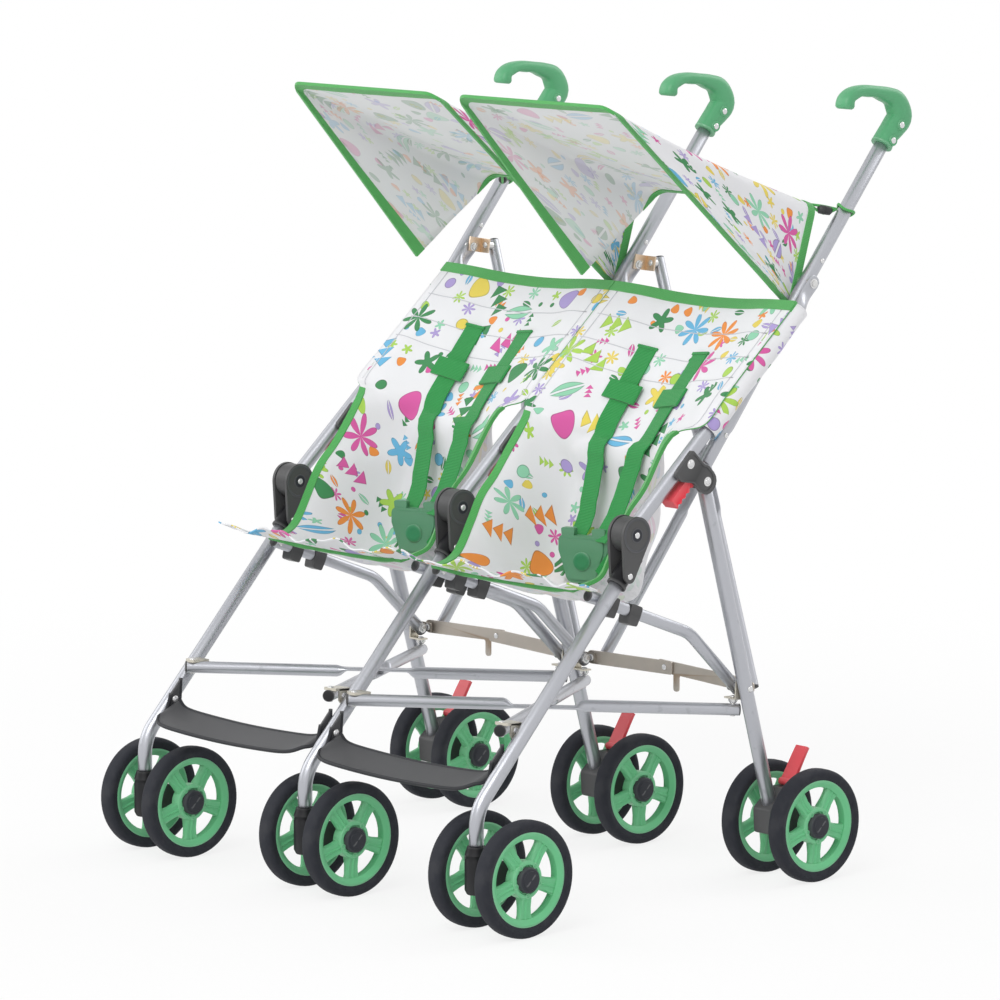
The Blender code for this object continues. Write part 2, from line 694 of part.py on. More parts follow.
def rear_leg(name, x, inner_sides):
    """Rear leg with its seat rails, brake housing, axle and the bolts it carries."""
    node = Node(f"rear_leg_{name}", "satin_aluminium", at(x, LEG_PIVOT))
    foot = REAR_LEG_TOP + ((REAR_LEG_TOP[1] - REAR_AXLE[1] - 0.012) / -REAR_LEG_DOWN[1]) * REAR_LEG_DOWN
    top = REAR_LEG_TOP + 0.004 * REAR_LEG_DOWN
    leg = tube([at(x, top), at(x, foot)], TUBE_RADIUS, X)
    fitting = rounded((
        (-LEG_FITTING_RADIUS, -0.006, 0.0), (-LEG_FITTING_RADIUS, LEG_FITTING_RADIUS, 0.011),
        (REAR_LEG_SETBACK, LEG_FITTING_RADIUS * 0.8, 0.0), (REAR_LEG_SETBACK, -0.014, 0.0)))
    rearward = side_axis(-across(REAR_LEG_DOWN))
    end = extruded(fitting, at(x - TUBE_RADIUS, LEG_PIVOT), rearward, -side_axis(REAR_LEG_DOWN),
                   X * 2 * TUBE_RADIUS)
    node.add(leg, end)

    path = rail_path()
    tab_front, _, _, stop = lock_layers()
    half_height = TAB_PLATE_HEIGHT / 2
    reach = BRACE_OFFSET + LOCK_EYE_RADIUS * 0.7
    left = reach if -1.0 in inner_sides else 0.004
    right = reach if 1.0 in inner_sides else 0.004
    tab_back = tab_front + TAB_PLATE_THICKNESS
    node.add(box((x - left, tab_front, RAIL_BOLT[1] - half_height),
                 (x + right, tab_back, RAIL_BOLT[1] + half_height)))
    node.add(box((x - 0.0035, RAIL_BOLT[0], RAIL_BOLT[1] - 0.0045),
                 (x + 0.0035, tab_front + TAB_PLATE_THICKNESS / 2, RAIL_BOLT[1] + 0.0045)))
    strap_face = TUBE_RADIUS + GAP + STRAP_THICKNESS + GAP
    rail_inner = RAIL_OFFSET - BAR_RADIUS + JOINT_DEPTH
    root = TUBE_RADIUS - 2 * JOINT_DEPTH
    for side in inner_sides:
        rail_x = x + side * RAIL_OFFSET
        rail = tube([at(rail_x, point) for point in path], BAR_RADIUS, X)
        bolt = turned(((RAIL_BOLT_RADIUS, root), (RAIL_BOLT_RADIUS, strap_face), (SPACER_RADIUS, strap_face),
                       (SPACER_RADIUS, rail_inner)), at(x, RAIL_BOLT), X * side, sides=12)
        node.add(bolt, rail)
        node.add(rivet(at(rail_x + side * BAR_RADIUS, RAIL_BOLT), X * side, BOLT_RADIUS))
        node.add(rivet(at(rail_x + side * BAR_RADIUS, RAIL_FRONT), X * side))
        shank = at(x + side * BRACE_OFFSET, Vector((tab_back, RAIL_BOLT[1])))
        length = brace_tube_front() - OPEN_PIVOT_GAP - shank.y
        shoulder = stop - shank.y
        node.add(turned(((LOCK_BOLT_RADIUS, -JOINT_DEPTH), (LOCK_BOLT_RADIUS, shoulder),
                         (SPACER_RADIUS, shoulder), (SPACER_RADIUS, length - 0.002),
                         (SPACER_TIP_RADIUS, length)), shank, Y))
        if name != "middle":
            node.add(*hanging_strap(x, side))
    for side in (-1.0, 1.0):
        if side not in inner_sides:
            node.add(rivet(at(x + side * TUBE_RADIUS, RAIL_BOLT), X * side))
    node.add(*brake_housing(x, foot))
    return node.finish()


def brake_housing(x, foot):
    """Black housing round the leg's foot that holds the rear axle, and the axle."""
    front = foot[0]
    axle_y, axle_z = REAR_AXLE
    pivot = brake_pivot()
    outline = rounded((
        (front - 0.016, axle_z - 0.012, 0.006), (axle_y + 0.013, axle_z - 0.016, 0.010),
        (axle_y + 0.016, axle_z + 0.016, 0.008), (pivot[0] + 0.006, pivot[1] - BRAKE_PIVOT_RADIUS - GAP, 0.003),
        (pivot[0] - 0.016, pivot[1] - BRAKE_PIVOT_RADIUS - GAP, 0.003), (front - 0.018, axle_z + 0.022, 0.006)))
    housing = extruded(outline, Vector((x - BRAKE_HALF_WIDTH, 0, 0)), Y, Z, X * 2 * BRAKE_HALF_WIDTH)
    length = WHEEL_PAIR_SPACING / 2 + RIM_WIDTH / 2 - GAP
    axle = pin(at(x, REAR_AXLE), X, -length, length, AXLE_RADIUS)
    return housing, axle


def brake_pivot():
    """Side-view place of the brake lever's hinge, above the axle."""
    return REAR_AXLE + Vector((-0.006, BRAKE_PIVOT_RISE))


def brake_lever(name, x):
    """Red foot lever that stands up behind the leg."""
    pivot = brake_pivot()
    node = Node(f"brake_lever_{name}", "red_plastic", at(x, pivot))
    direction = heading(BRAKE_LEVER_ANGLE)
    normal = across(direction)
    half = BRAKE_LEVER_THICKNESS / 2
    tip = BRAKE_LEVER_LENGTH
    outline = rounded((
        (0.0, -half, 0.0), (tip - 0.008, -half, 0.0), (tip, -half - 0.002, 0.0), (tip, half, 0.001),
        (0.0, half, 0.0)))
    base = at(x - BRAKE_LEVER_WIDTH / 2, pivot)
    node.add(extruded(outline, base, side_axis(direction), side_axis(normal), X * BRAKE_LEVER_WIDTH))
    node.add(pin(at(x, pivot), X, -BRAKE_LEVER_WIDTH / 2, BRAKE_LEVER_WIDTH / 2, BRAKE_PIVOT_RADIUS))
    return node.finish()


def front_leg(name, x):
    """Front leg with its knuckle, down to the caster's collar."""
    node = Node(f"front_leg_{name}", "satin_aluminium", at(x, KNUCKLE))
    neck_end = FRONT_BEND + NECK_REACH * FRONT_LEG_UP
    bottom = Vector((SWIVEL_Y, CASTER_COLLAR_Z + GAP))
    path = bent([neck_end + 0.004 * FRONT_LEG_UP, FRONT_BEND, bottom], FRONT_BEND_RADIUS)
    leg = tube([at(x, point) for point in path], TUBE_RADIUS, X)

    neck_top = neck_end + NECK_LENGTH * FRONT_LEG_UP
    body = tube([at(x, neck_end), at(x, neck_top)], NECK_RADIUS, X)
    inner = HUB_HALF_WIDTH + GAP
    cheek_foot = neck_end + 0.016 * FRONT_LEG_UP
    for side in (-1.0, 1.0):
        rings = []
        for level in (inner, inner + CHEEK_THICKNESS):
            rings.append(circle(at(x + side * level, KNUCKLE), Y, Z, CHEEK_RADIUS, CHEEK_RADIUS, 16))
            rings.append(circle(at(x + side * level, cheek_foot), Y, Z, CHEEK_FOOT_RADIUS, CHEEK_FOOT_RADIUS, 8))
        body = fused(body, hull(rings))
    room = pin(at(x, KNUCKLE), X, -inner, inner, HUB_RADIUS + 3 * GAP, sides=16)
    body = cut(body, room)
    node.add(leg, body)
    for side in (-1.0, 1.0):
        face = x + side * (inner + CHEEK_THICKNESS)
        node.add(rivet(at(face, KNUCKLE), X * side))
        node.add(rivet(at(face, cheek_foot), X * side))
    return node.finish()


def caster(name, x):
    """Swivel housing with its trailing arm and the front axle."""
    node = Node(f"caster_{name}", "black_plastic", Vector((x, SWIVEL_Y, CASTER_COLLAR_Z)))
    axle_y, axle_z = FRONT_AXLE
    barrel = turned(((0.0125, 0.054), (CASTER_BARREL_RADIUS, 0.060), (CASTER_BARREL_RADIUS, 0.105),
                     (0.012, CASTER_COLLAR_Z)), Vector((x, SWIVEL_Y, 0)), Z, sides=16)
    arm_outline = rounded((
        (SWIVEL_Y - 0.004, 0.062, 0.003), (axle_y + 0.010, axle_z - 0.016, 0.008),
        (axle_y + 0.014, axle_z + 0.012, 0.008), (SWIVEL_Y + 0.010, 0.102, 0.006),
        (SWIVEL_Y - 0.004, 0.102, 0.0)))
    arm = extruded(arm_outline, Vector((x - CASTER_ARM_WIDTH / 2, 0, 0)), Y, Z, X * CASTER_ARM_WIDTH)
    length = WHEEL_PAIR_SPACING / 2 + RIM_WIDTH / 2 - GAP
    axle = pin(at(x, FRONT_AXLE), X, -length, length, AXLE_RADIUS)
    node.add(arm, barrel, axle)
    return node.finish()


# Wheels

def wheel_mesh(side):
    """One wheel about the X axis, its cap towards side; shared by six wheels."""
    node = Node("wheel", "mint_plastic")
    rim_radius = WHEEL_RADIUS - TYRE_DEPTH
    half = WHEEL_WIDTH / 2
    face = RIM_WIDTH / 2
    centre = Vector((0, 0, 0))
    disc = turned((
        (rim_radius, -face), (WHEEL_RADIUS - 0.007, -half), (WHEEL_RADIUS, -half * 0.58),
        (WHEEL_RADIUS, half * 0.58), (WHEEL_RADIUS - 0.007, half), (rim_radius, face)),
        centre, X, sides=WHEEL_SIDES)
    tools = []
    for index in range(WINDOW_COUNT):
        middle = 2 * math.pi * (index + 0.25) / WINDOW_COUNT
        spread = math.pi / WINDOW_COUNT
        outline = []
        for radius, share in ((WINDOW_INNER, 0.0), (0.034, 0.58), (WINDOW_OUTER - 0.001, 0.66),
                              (WINDOW_OUTER - 0.001, -0.66), (0.034, -0.58)):
            angle = middle + share * spread
            outline.append((radius * math.cos(angle), radius * math.sin(angle)))
        tools.append(extruded(outline, Vector((-WHEEL_WIDTH, 0, 0)), Y, Z, X * 2 * WHEEL_WIDTH))
    body = cut(disc, *tools)
    cap = turned(((HUB_CAP_RADIUS, -JOINT_DEPTH), (HUB_CAP_RADIUS * 0.85, HUB_CAP_HEIGHT)),
                 centre + X * side * face, X * side)
    bore = pin(centre, X * side, -WHEEL_WIDTH, face, HUB_BORE)
    node.add(cut(fused(body, cap), bore))
    thing = node.finish()
    data = thing.data
    data.materials.append(material("tyre_foam"))
    for polygon in data.polygons:
        middle = polygon.center
        if math.hypot(middle.y, middle.z) > rim_radius:
            polygon.material_index = 1
    bpy.data.objects.remove(thing)
    return data


def wheels():
    """A pair of wheels on each caster and each rear axle."""
    meshes = {side: wheel_mesh(side) for side in (-1.0, 1.0)}
    for name, x in FRAMES:
        for end, axle in (("front", FRONT_AXLE), ("rear", REAR_AXLE)):
            for side, hand in ((-1.0, "a"), (1.0, "b")):
                centre = at(x + side * WHEEL_PAIR_SPACING / 2, axle)
                place(f"wheel_{end}_{name}_{hand}", meshes[side], centre)


# Crossed bars

def scissor_directions():
    """Forward direction along the scissor plane and its upward normal, in the side view."""
    forward = (SCISSOR_FRONT - SCISSOR_REAR).normalized()
    return forward, Vector((forward[1], -forward[0]))


def brace_directions():
    """Downward direction along the brace plane and its rearward normal, in the side view."""
    down = (BRACE_FOOT - BRACE_TOP).normalized()
    return down, Vector((-down[1], down[0]))


def crossed_bar(node, start, end, normal, level, flat):
    """A tube between two pivots, flat to each side of where it crosses its partner, with end plugs."""
    direction = (end - start).normalized()
    middle = (start + end) / 2
    lift = normal * level * (FLAT_HALF_HEIGHT + GAP)
    side = normal.cross(direction)
    plug = BAR_RADIUS * 0.9
    first = start - direction * BAR_OVERHANG
    last = end + direction * BAR_OVERHANG
    half_round = flat + CROSSING_TAPER
    stations = [(first, plug, plug), (first + direction * PLUG_THICKNESS, plug, plug),
                (first + direction * (PLUG_THICKNESS + GAP), BAR_RADIUS, BAR_RADIUS),
                (middle - direction * half_round, BAR_RADIUS, BAR_RADIUS)]
    for reach in (-flat, flat):
        stations.append((middle + direction * reach + lift, FLAT_HALF_WIDTH, FLAT_HALF_HEIGHT))
    stations += [(middle + direction * half_round, BAR_RADIUS, BAR_RADIUS),
                 (last - direction * (PLUG_THICKNESS + GAP), BAR_RADIUS, BAR_RADIUS),
                 (last - direction * PLUG_THICKNESS, plug, plug), (last, plug, plug)]
    node.add(sweep(stations, side))
    face = middle + normal * level * (2 * FLAT_HALF_HEIGHT + GAP)
    node.add(rivet(face, normal * level))


def scissor_pivots(side):
    """The four pivots of one seat's crossed bars: middle and outer, rear and front."""
    inner = side * SCISSOR_OFFSET
    outer = side * (FRAME_SPACING - SCISSOR_OFFSET)
    return (at(inner, SCISSOR_REAR), at(outer, SCISSOR_REAR), at(inner, SCISSOR_FRONT), at(outer, SCISSOR_FRONT))


def scissor_bracket(name, side):
    """Strap, spacer and rivet that hang a bar from the middle rear leg."""
    node = Node(f"scissor_bracket_{name}", "zinc_steel", at(0.0, RAIL_BOLT))
    strap, spacer, head = hanging_strap(0.0, side)
    eye = pin(at(0.0, RAIL_BOLT), X, -2 * SCISSOR_OFFSET, 2 * SCISSOR_OFFSET, RAIL_BOLT_RADIUS + GAP)
    node.add(cut(strap, eye), spacer, head)
    return node.finish()


def front_bracket(node, frame_x, side):
    """Angle bracket and spacer on the front end of a bar, beside the front leg."""
    forward, up = scissor_directions()
    across_bar = X * side
    ahead = side_axis(forward)
    above = side_axis(up)
    pivot = at(frame_x + side * SCISSOR_OFFSET, SCISSOR_FRONT)
    leg_face = SCISSOR_OFFSET - TUBE_RADIUS
    flange_out = -(leg_face - 0.0038)
    flange_in = flange_out - STRAP_THICKNESS
    back = -0.022
    seat_height = BAR_RADIUS - JOINT_DEPTH
    wing = extruded(
        ((flange_in, back), (STRAP_HALF_WIDTH, back), (STRAP_HALF_WIDTH, STRAP_HALF_WIDTH * 0.6),
         (STRAP_HALF_WIDTH * 0.4, STRAP_HALF_WIDTH), (-STRAP_HALF_WIDTH * 0.6, STRAP_HALF_WIDTH),
         (flange_in, STRAP_HALF_WIDTH * 0.2)),
        pivot + above * seat_height, across_bar, ahead, above * (STRAP_THICKNESS + JOINT_DEPTH))
    top = seat_height + STRAP_THICKNESS
    flange = extruded(
        ((back + 0.0005, top), (-0.0045, top), (-0.0045, -0.006), (-0.008, -0.010), (-0.018, -0.010),
         (back + 0.0005, -0.006)),
        pivot + across_bar * flange_in, ahead, above, across_bar * STRAP_THICKNESS)
    bolt = pivot + ahead * (back - 0.0045) / 2 + across_bar * flange_in
    length = leg_face + flange_in - 2 * GAP
    spacer = turned(((SPACER_RADIUS, -JOINT_DEPTH), (SPACER_TIP_RADIUS * 0.6, length)), bolt, -across_bar)
    node.add(wing, flange, spacer)
    node.add(rivet(pivot + above * (seat_height + STRAP_THICKNESS + JOINT_DEPTH), above))


def scissor_bars(name, side):
    """The two bars under one seat; each front end carries its bracket."""
    inner_rear, outer_rear, inner_front, outer_front = scissor_pivots(side)
    up = side_axis(scissor_directions()[1])
    node = Node(f"scissor_bar_{name}_a", "satin_aluminium", inner_rear)
    crossed_bar(node, inner_rear, outer_front, up, 1, CROSSING_HALF_LENGTH)
    front_bracket(node, side * FRAME_SPACING, -side)
    node.add(rivet(inner_rear - up * BAR_RADIUS, -up))
    node.finish()
    node = Node(f"scissor_bar_{name}_b", "satin_aluminium", (outer_rear + inner_front) / 2)
    crossed_bar(node, outer_rear, inner_front, up, -1, CROSSING_HALF_LENGTH)
    front_bracket(node, 0.0, side)
    node.add(rivet(outer_rear - up * BAR_RADIUS, -up))
    node.finish()


def add_brace_bracket(node, frame_x, side, spacer_end):
    """Bent copper plate from the handle tube's bolt to the top of a brace."""
    down, rearward = brace_directions()
    across_bar = X * side
    back = side_axis(rearward)
    up = -side_axis(down)
    pivot = at(frame_x, BRACE_TOP)
    bolt_back = (BRACE_BOLT - BRACE_TOP).dot(rearward)
    bolt_up = -(BRACE_BOLT - BRACE_TOP).dot(down)
    wing_back = -(BAR_RADIUS + GAP + BRACE_SPACER_LENGTH)
    wing_front = wing_back - STRAP_THICKNESS
    inner = BRACE_WING_OFFSET
    outer = BRACE_OFFSET + STRAP_HALF_WIDTH
    outline = (
        (inner, bolt_back - STRAP_HALF_WIDTH), (inner + STRAP_THICKNESS, bolt_back - STRAP_HALF_WIDTH),
        (inner + STRAP_THICKNESS, wing_front), (outer, wing_front), (outer, wing_back), (inner, wing_back))
    low = bolt_up - 0.006
    base = pivot + up * low
    bolt = at(frame_x, BRACE_BOLT) + across_bar * (inner + STRAP_THICKNESS)
    eye = pivot + across_bar * BRACE_OFFSET
    node.add(pin(eye, back, wing_back - JOINT_DEPTH, spacer_end, SPACER_RADIUS))
    node.add(extruded(outline, base, across_bar, back, up * (0.009 - low)))
    node.add(rivet(bolt, across_bar, BOLT_RADIUS * 0.9, BOLT_HEIGHT))
    node.add(rivet(eye + back * wing_front, -back))


def brace_bracket(name, side):
    """The brace bracket on the middle frame."""
    node = Node(f"brace_bracket_{name}", "copper_steel", at(0.0, BRACE_BOLT))
    add_brace_bracket(node, 0.0, side, -BAR_RADIUS - GAP)
    return node.finish()


def brace_bars(name, side):
    """The two crossed braces behind one seat; the outer top end carries its bracket."""
    back = side_axis(brace_directions()[1])
    inner = side * BRACE_OFFSET
    outer = side * (FRAME_SPACING - BRACE_OFFSET)
    node = Node(f"back_brace_{name}_a", "satin_aluminium", at(inner, BRACE_TOP))
    crossed_bar(node, at(inner, BRACE_TOP), at(outer, BRACE_FOOT), back, 1, BRACE_CROSSING_HALF_LENGTH)
    node.add(rivet(at(inner, BRACE_TOP) + back * BAR_RADIUS, back))
    node.add(rivet(at(outer, BRACE_FOOT) + back * BAR_RADIUS, back))
    node.finish()
    node = Node(f"back_brace_{name}_b", "satin_aluminium", (at(outer, BRACE_TOP) + at(inner, BRACE_FOOT)) / 2)
    crossed_bar(node, at(outer, BRACE_TOP), at(inner, BRACE_FOOT), back, -1, BRACE_CROSSING_HALF_LENGTH)
    add_brace_bracket(node, side * FRAME_SPACING, -side, -BAR_RADIUS + 2 * JOINT_DEPTH)
    node.add(rivet(at(inner, BRACE_FOOT) + back * BAR_RADIUS, back))
    node.finish()


def lock_bars(name, side):
    """The two halves of the lock bar between two rear legs, lapped in the middle."""
    _, first, second, _ = lock_layers()
    z = RAIL_BOLT[1]
    middle = FRAME_SPACING / 2
    half_height = LOCK_HEIGHT / 2
    for place_name, frame_x, direction, layer in (("inner", 0.0, 1.0, first), ("outer", FRAME_SPACING, -1.0, second)):
        hinge_x = frame_x + direction * BRACE_OFFSET
        tip = middle + direction * LOCK_OVERLAP
        run = abs(tip - hinge_x)
        corners = [
            (-LOCK_EYE_RADIUS, -half_height, half_height * 0.9), (run, LOCK_RISE - half_height, 0.004),
            (run, LOCK_RISE + half_height, 0.004), (-LOCK_EYE_RADIUS, half_height, half_height * 0.9)]
        if place_name == "outer":
            tab_start = run - 2 * LOCK_OVERLAP
            corners[1:2] = [
                (tab_start - LOCK_TAB_WIDTH, LOCK_RISE - half_height, 0.003),
                (tab_start - LOCK_TAB_WIDTH, LOCK_RISE - half_height - LOCK_TAB_DROP, 0.004),
                (tab_start, LOCK_RISE - half_height - LOCK_TAB_DROP, 0.004),
                (tab_start, LOCK_RISE - half_height, 0.0), (run, LOCK_RISE - half_height, 0.004)]
        hinge = Vector((side * hinge_x, layer, z))
        node = Node(f"lock_bar_{name}_{place_name}", "bronze_steel", hinge)
        outward = X * side * direction
        strip = extruded(rounded(corners), hinge, outward, Z, Y * LOCK_THICKNESS)
        eye = ((LOCK_BOLT_RADIUS + GAP, -0.004), (LOCK_BOLT_RADIUS + GAP, 0.008))
        node.add(cut(strip, turned(eye, hinge, Y, sides=12)))
        rivet_face = Vector((side * middle, layer if place_name == "inner" else layer + LOCK_THICKNESS,
                             z + LOCK_RISE))
        toward = -Y if place_name == "inner" else Y
        node.add(rivet(rivet_face, toward))
        node.finish()


# Soft parts

def footrest(name, side):
    """Dark sling between two front legs, for the child's heels, riveted to the legs by its ears."""
    leg_y = SWIVEL_Y + (FOOTREST_RIVET_Z - FRONT_BEND_Z) / math.tan(math.radians(FRONT_LEG_ANGLE))
    ear_x = TUBE_RADIUS + GAP + FOOTREST_THICKNESS / 2
    ear_half = side_axis(FRONT_LEG_UP) * FOOTREST_EAR_WIDTH / 2
    band_half = side_axis(heading(FOOTREST_TILT)) * FOOTREST_DEPTH / 2
    top = FOOTREST_RIVET_Z + FOOTREST_EAR_TOP
    low = FOOTREST_RIVET_Z - FOOTREST_SAG
    half = []
    for reach, z, share in ((ear_x, top, 0.0), (ear_x, FOOTREST_RIVET_Z - 0.006, 0.2), (ear_x + 0.006, low + 0.012, 0.6),
                            (ear_x + 0.024, low + 0.005, 0.9), (ear_x + 0.070, low + 0.002, 1.0)):
        centre = Vector((reach, leg_y - FOOTREST_FORWARD * share, z))
        half.append((centre, ear_half.lerp(band_half, share)))
    middle = (Vector((FRAME_SPACING / 2, leg_y - FOOTREST_FORWARD, low)), band_half)
    mirrored = [(Vector((FRAME_SPACING - point.x, point.y, point.z)), width) for point, width in half[::-1]]
    stations = [(Vector((side * point.x, point.y, point.z)), width) for point, width in half + [middle] + mirrored]
    node = Node(f"footrest_{name}", "black_plastic", at(0.0, KNUCKLE))
    node.add(strip(stations, FOOTREST_THICKNESS))
    return node.finish()


def seat_rows():
    """Side-view lines of the seat cloth: (edge point, middle point, side gap) from hem to top."""
    rows = [
        (RAIL_FRONT + Vector((-0.024, 0.010)), RAIL_FRONT + Vector((-0.022, 0.006)), SEAT_HEM_GAP),
        (RAIL_FRONT + Vector((-0.001, 0.0145)), RAIL_FRONT + Vector((0.036, -0.012)), SEAT_HEM_GAP),
        (RAIL_FRONT + Vector((0.020, 0.024)), RAIL_FRONT + Vector((0.080, -0.026)), SEAT_PAN_GAP),
        (RAIL_FRONT + Vector((0.034, 0.045)), RAIL_FRONT + Vector((0.120, -0.030)), SEAT_PAN_GAP),
        (RAIL_FRONT + Vector((0.046, 0.067)), RAIL_FRONT + Vector((0.141, -0.014)), SEAT_PAN_GAP),
        (RAIL_FRONT + Vector((0.064, 0.098)), RAIL_FRONT + Vector((0.160, 0.040)), SEAT_PAN_GAP),
        (RAIL_FRONT + Vector((0.095, 0.131)), RAIL_FRONT + Vector((0.179, 0.102)), SEAT_PAN_GAP),
    ]
    top = SEAT_BACK_LENGTH - SEAT_TOP_SETBACK
    forward = -across(SEAT_BACK_DIRECTION)
    for reach in (SEAT_BRACKET_TOP, SEAT_TUBE_START, 0.0, 0.3, 0.6, 1.0):
        gap = SEAT_PAN_GAP if reach == SEAT_BRACKET_TOP else None
        if reach not in (SEAT_BRACKET_TOP, SEAT_TUBE_START):
            reach = SEAT_TUBE_START + 0.05 + (top - SEAT_TUBE_START - 0.05) * reach
        edge = KNUCKLE + reach * SEAT_BACK_DIRECTION + SEAT_TUBE_COVER * forward
        share = (reach - SEAT_BRACKET_TOP) / (top - SEAT_BRACKET_TOP)
        depth = SEAT_DEPTH_LOW + (SEAT_DEPTH_HIGH - SEAT_DEPTH_LOW) * share
        rows.append((edge, edge - depth * forward, gap))
    return rows


def seat_span(side, point, gap):
    """x of the two side edges of the cloth at a side-view point."""
    if gap is not None:
        low, high = gap, FRAME_SPACING - gap
        return (low, high) if side > 0 else (-high, -low)
    tube_x = lean((point - KNUCKLE).dot(SEAT_BACK_DIRECTION))
    if side > 0:
        return tube_x + SEAT_SEAM_GAP, tube_x + FRAME_SPACING + SEAT_TUBE_WRAP
    return tube_x - FRAME_SPACING - SEAT_TUBE_WRAP, tube_x - SEAT_SEAM_GAP


def drop_share(column, steepness):
    """How much of the depth the cloth has reached at a share of its width: 0 at the edges, 1 between."""
    run = min(column, 1 - column) / steepness
    return 1.0 if run >= 1 else 0.5 - 0.5 * math.cos(math.pi * run)


def seat_point(side, row, column):
    """A point on the middle of the cloth's thickness, at a row and a share of the width."""
    edge, middle, gap = row
    low, high = seat_span(side, edge, gap)
    steepness = 0.22 if gap is not None else 0.46
    return at(low + (high - low) * column, edge.lerp(middle, drop_share(column, steepness)))


def seat(name, side):
    """Sling seat: one sheet hung between two side frames, deep in the lower back."""
    rows = seat_rows()
    rings = []
    for index, row in enumerate(rows):
        before = rows[max(index - 1, 0)]
        after = rows[min(index + 1, len(rows) - 1)]
        front, rear = [], []
        for column in SEAT_COLUMNS:
            centre = seat_point(side, row, column)
            tangent = seat_point(side, after, column) - seat_point(side, before, column)
            normal = side_axis(across(Vector((tangent.y, tangent.z)).normalized()))
            front.append(centre - normal * CLOTH_THICKNESS / 2)
            rear.append(centre + normal * CLOTH_THICKNESS / 2)
        rings.append(front + rear[::-1])
    node = Node(f"seat_{name}", "white_cloth")
    node.add(loft(rings))
    return node.finish()


def canopy(name, side):
    """Folding hood: a cloth arch that narrows from its front bow to the top of the seat."""
    node = Node(f"canopy_{name}", "white_cloth", at(side * FRAME_SPACING / 2, CANOPY_PIVOT))
    reach = SEAT_BACK_LENGTH - CANOPY_PIVOT_SETBACK
    low = lean(reach) + TUBE_RADIUS + 2 * GAP
    high = FRAME_SPACING - TUBE_RADIUS - 2 * GAP
    if side < 0:
        low, high = low - FRAME_SPACING, high - FRAME_SPACING
    rings = []
    for station in range(CANOPY_STATIONS):
        share = station / (CANOPY_STATIONS - 1)
        foot = CANOPY_FRONT_FOOT.lerp(CANOPY_PIVOT, share)
        top = CANOPY_FRONT_TOP.lerp(CANOPY_REAR_TOP, share)
        top.y -= CANOPY_SAG * math.sin(math.pi * share)
        corner = CANOPY_CORNER_RADIUS + (CANOPY_REAR_CORNER_RADIUS - CANOPY_CORNER_RADIUS) * share
        rings.append(canopy_ring(low, high, foot, top, corner))
    plane = FRAME_SPACING if side > 0 else 0.0
    lug = at(plane, CANOPY_PIVOT)
    node.add(loft(rings))
    node.add(pin(lug, -X, TUBE_RADIUS + GAP, plane - high + CANOPY_THICKNESS, CANOPY_LUG_RADIUS))
    return node.finish()


def canopy_ring(low, high, foot, top, corner):
    """Points of one arch of the hood: up one side, over the top, down the other, and back inside."""
    direction = (top - foot).normalized()
    height = (top - foot).length
    thin = CANOPY_THICKNESS
    outer = rounded_arch(low, high, height, corner)
    inner = rounded_arch(low + thin, high - thin, height - thin, corner - thin)
    return [at(x, foot + reach * direction) for x, reach in outer + inner[::-1]]


def rounded_arch(low, high, top, corner):
    """An arch in (x, height): straight sides, round corners, flat top."""
    return bent([Vector((low, 0.0)), Vector((low, top)), Vector((high, top)), Vector((high, 0.0))], corner, 3)


def cloth_front(side, height, column, lift):
    """A point lifted off the front of the seat cloth, at a row number and a share of the width."""
    rows = seat_rows()
    index = min(int(height), len(rows) - 2)
    low = seat_point(side, rows[index], column)
    high = seat_point(side, rows[index + 1], column)
    tangent = high - low
    normal = side_axis(across(Vector((tangent.y, tangent.z)).normalized()))
    slope = seat_point(side, rows[index], column + 0.04) - seat_point(side, rows[index], column - 0.04)
    half_width = slope.normalized() * WEBBING_WIDTH / 2
    return low.lerp(high, height - index) - normal * (CLOTH_THICKNESS / 2 + lift), half_width


def harness(name, side):
    """Five-point harness: two shoulder straps, two waist straps, a crotch strap and the buckle."""
    node = Node(f"harness_{name}", "green_webbing")
    front = Vector((0.0, *BUCKLE_PLACE))
    low, high = seat_span(side, BUCKLE_PLACE, SEAT_PAN_GAP)
    centre = low + (high - low) * BUCKLE_COLUMN
    front.x = centre
    half_width = BUCKLE_WIDTH / 2
    half_height = BUCKLE_HEIGHT / 2
    node.add(extruded(rounded((
        (-half_width, -half_height, 0.010), (half_width, -half_height, 0.010),
        (half_width, half_height, 0.008), (-half_width, half_height, 0.008))), front, X, Z, Y * BUCKLE_DEPTH))
    inside = Y * BUCKLE_DEPTH / 2
    across_strap = X * WEBBING_WIDTH / 2
    for hand in (-1.0, 1.0):
        shoulder = [cloth_front(side, height, BUCKLE_COLUMN + hand * spread, STRAP_LIFT)
                    for height, spread in SHOULDER_STRAP]
        corner = front + inside + Vector((hand * (half_width - 0.014), 0, half_height - 0.006))
        node.add(strip([*shoulder, (corner, across_strap)], WEBBING_THICKNESS))
        waist = [cloth_front(side, height, BUCKLE_COLUMN + hand * spread, STRAP_LIFT)
                 for height, spread in WAIST_STRAP]
        along_strap = side_axis(SEAT_BACK_DIRECTION) * WEBBING_WIDTH / 2
        edge = front + inside + X * hand * (half_width - 0.006)
        node.add(strip([(edge, along_strap), *((point, along_strap) for point, _ in waist)], WEBBING_THICKNESS))
    crotch = [(cloth_front(side, height, BUCKLE_COLUMN, STRAP_LIFT)[0], across_strap) for height in CROTCH_STRAP]
    node.add(strip([(front + inside - Z * (half_height - 0.006), across_strap), *crotch], WEBBING_THICKNESS))
    return node.finish()


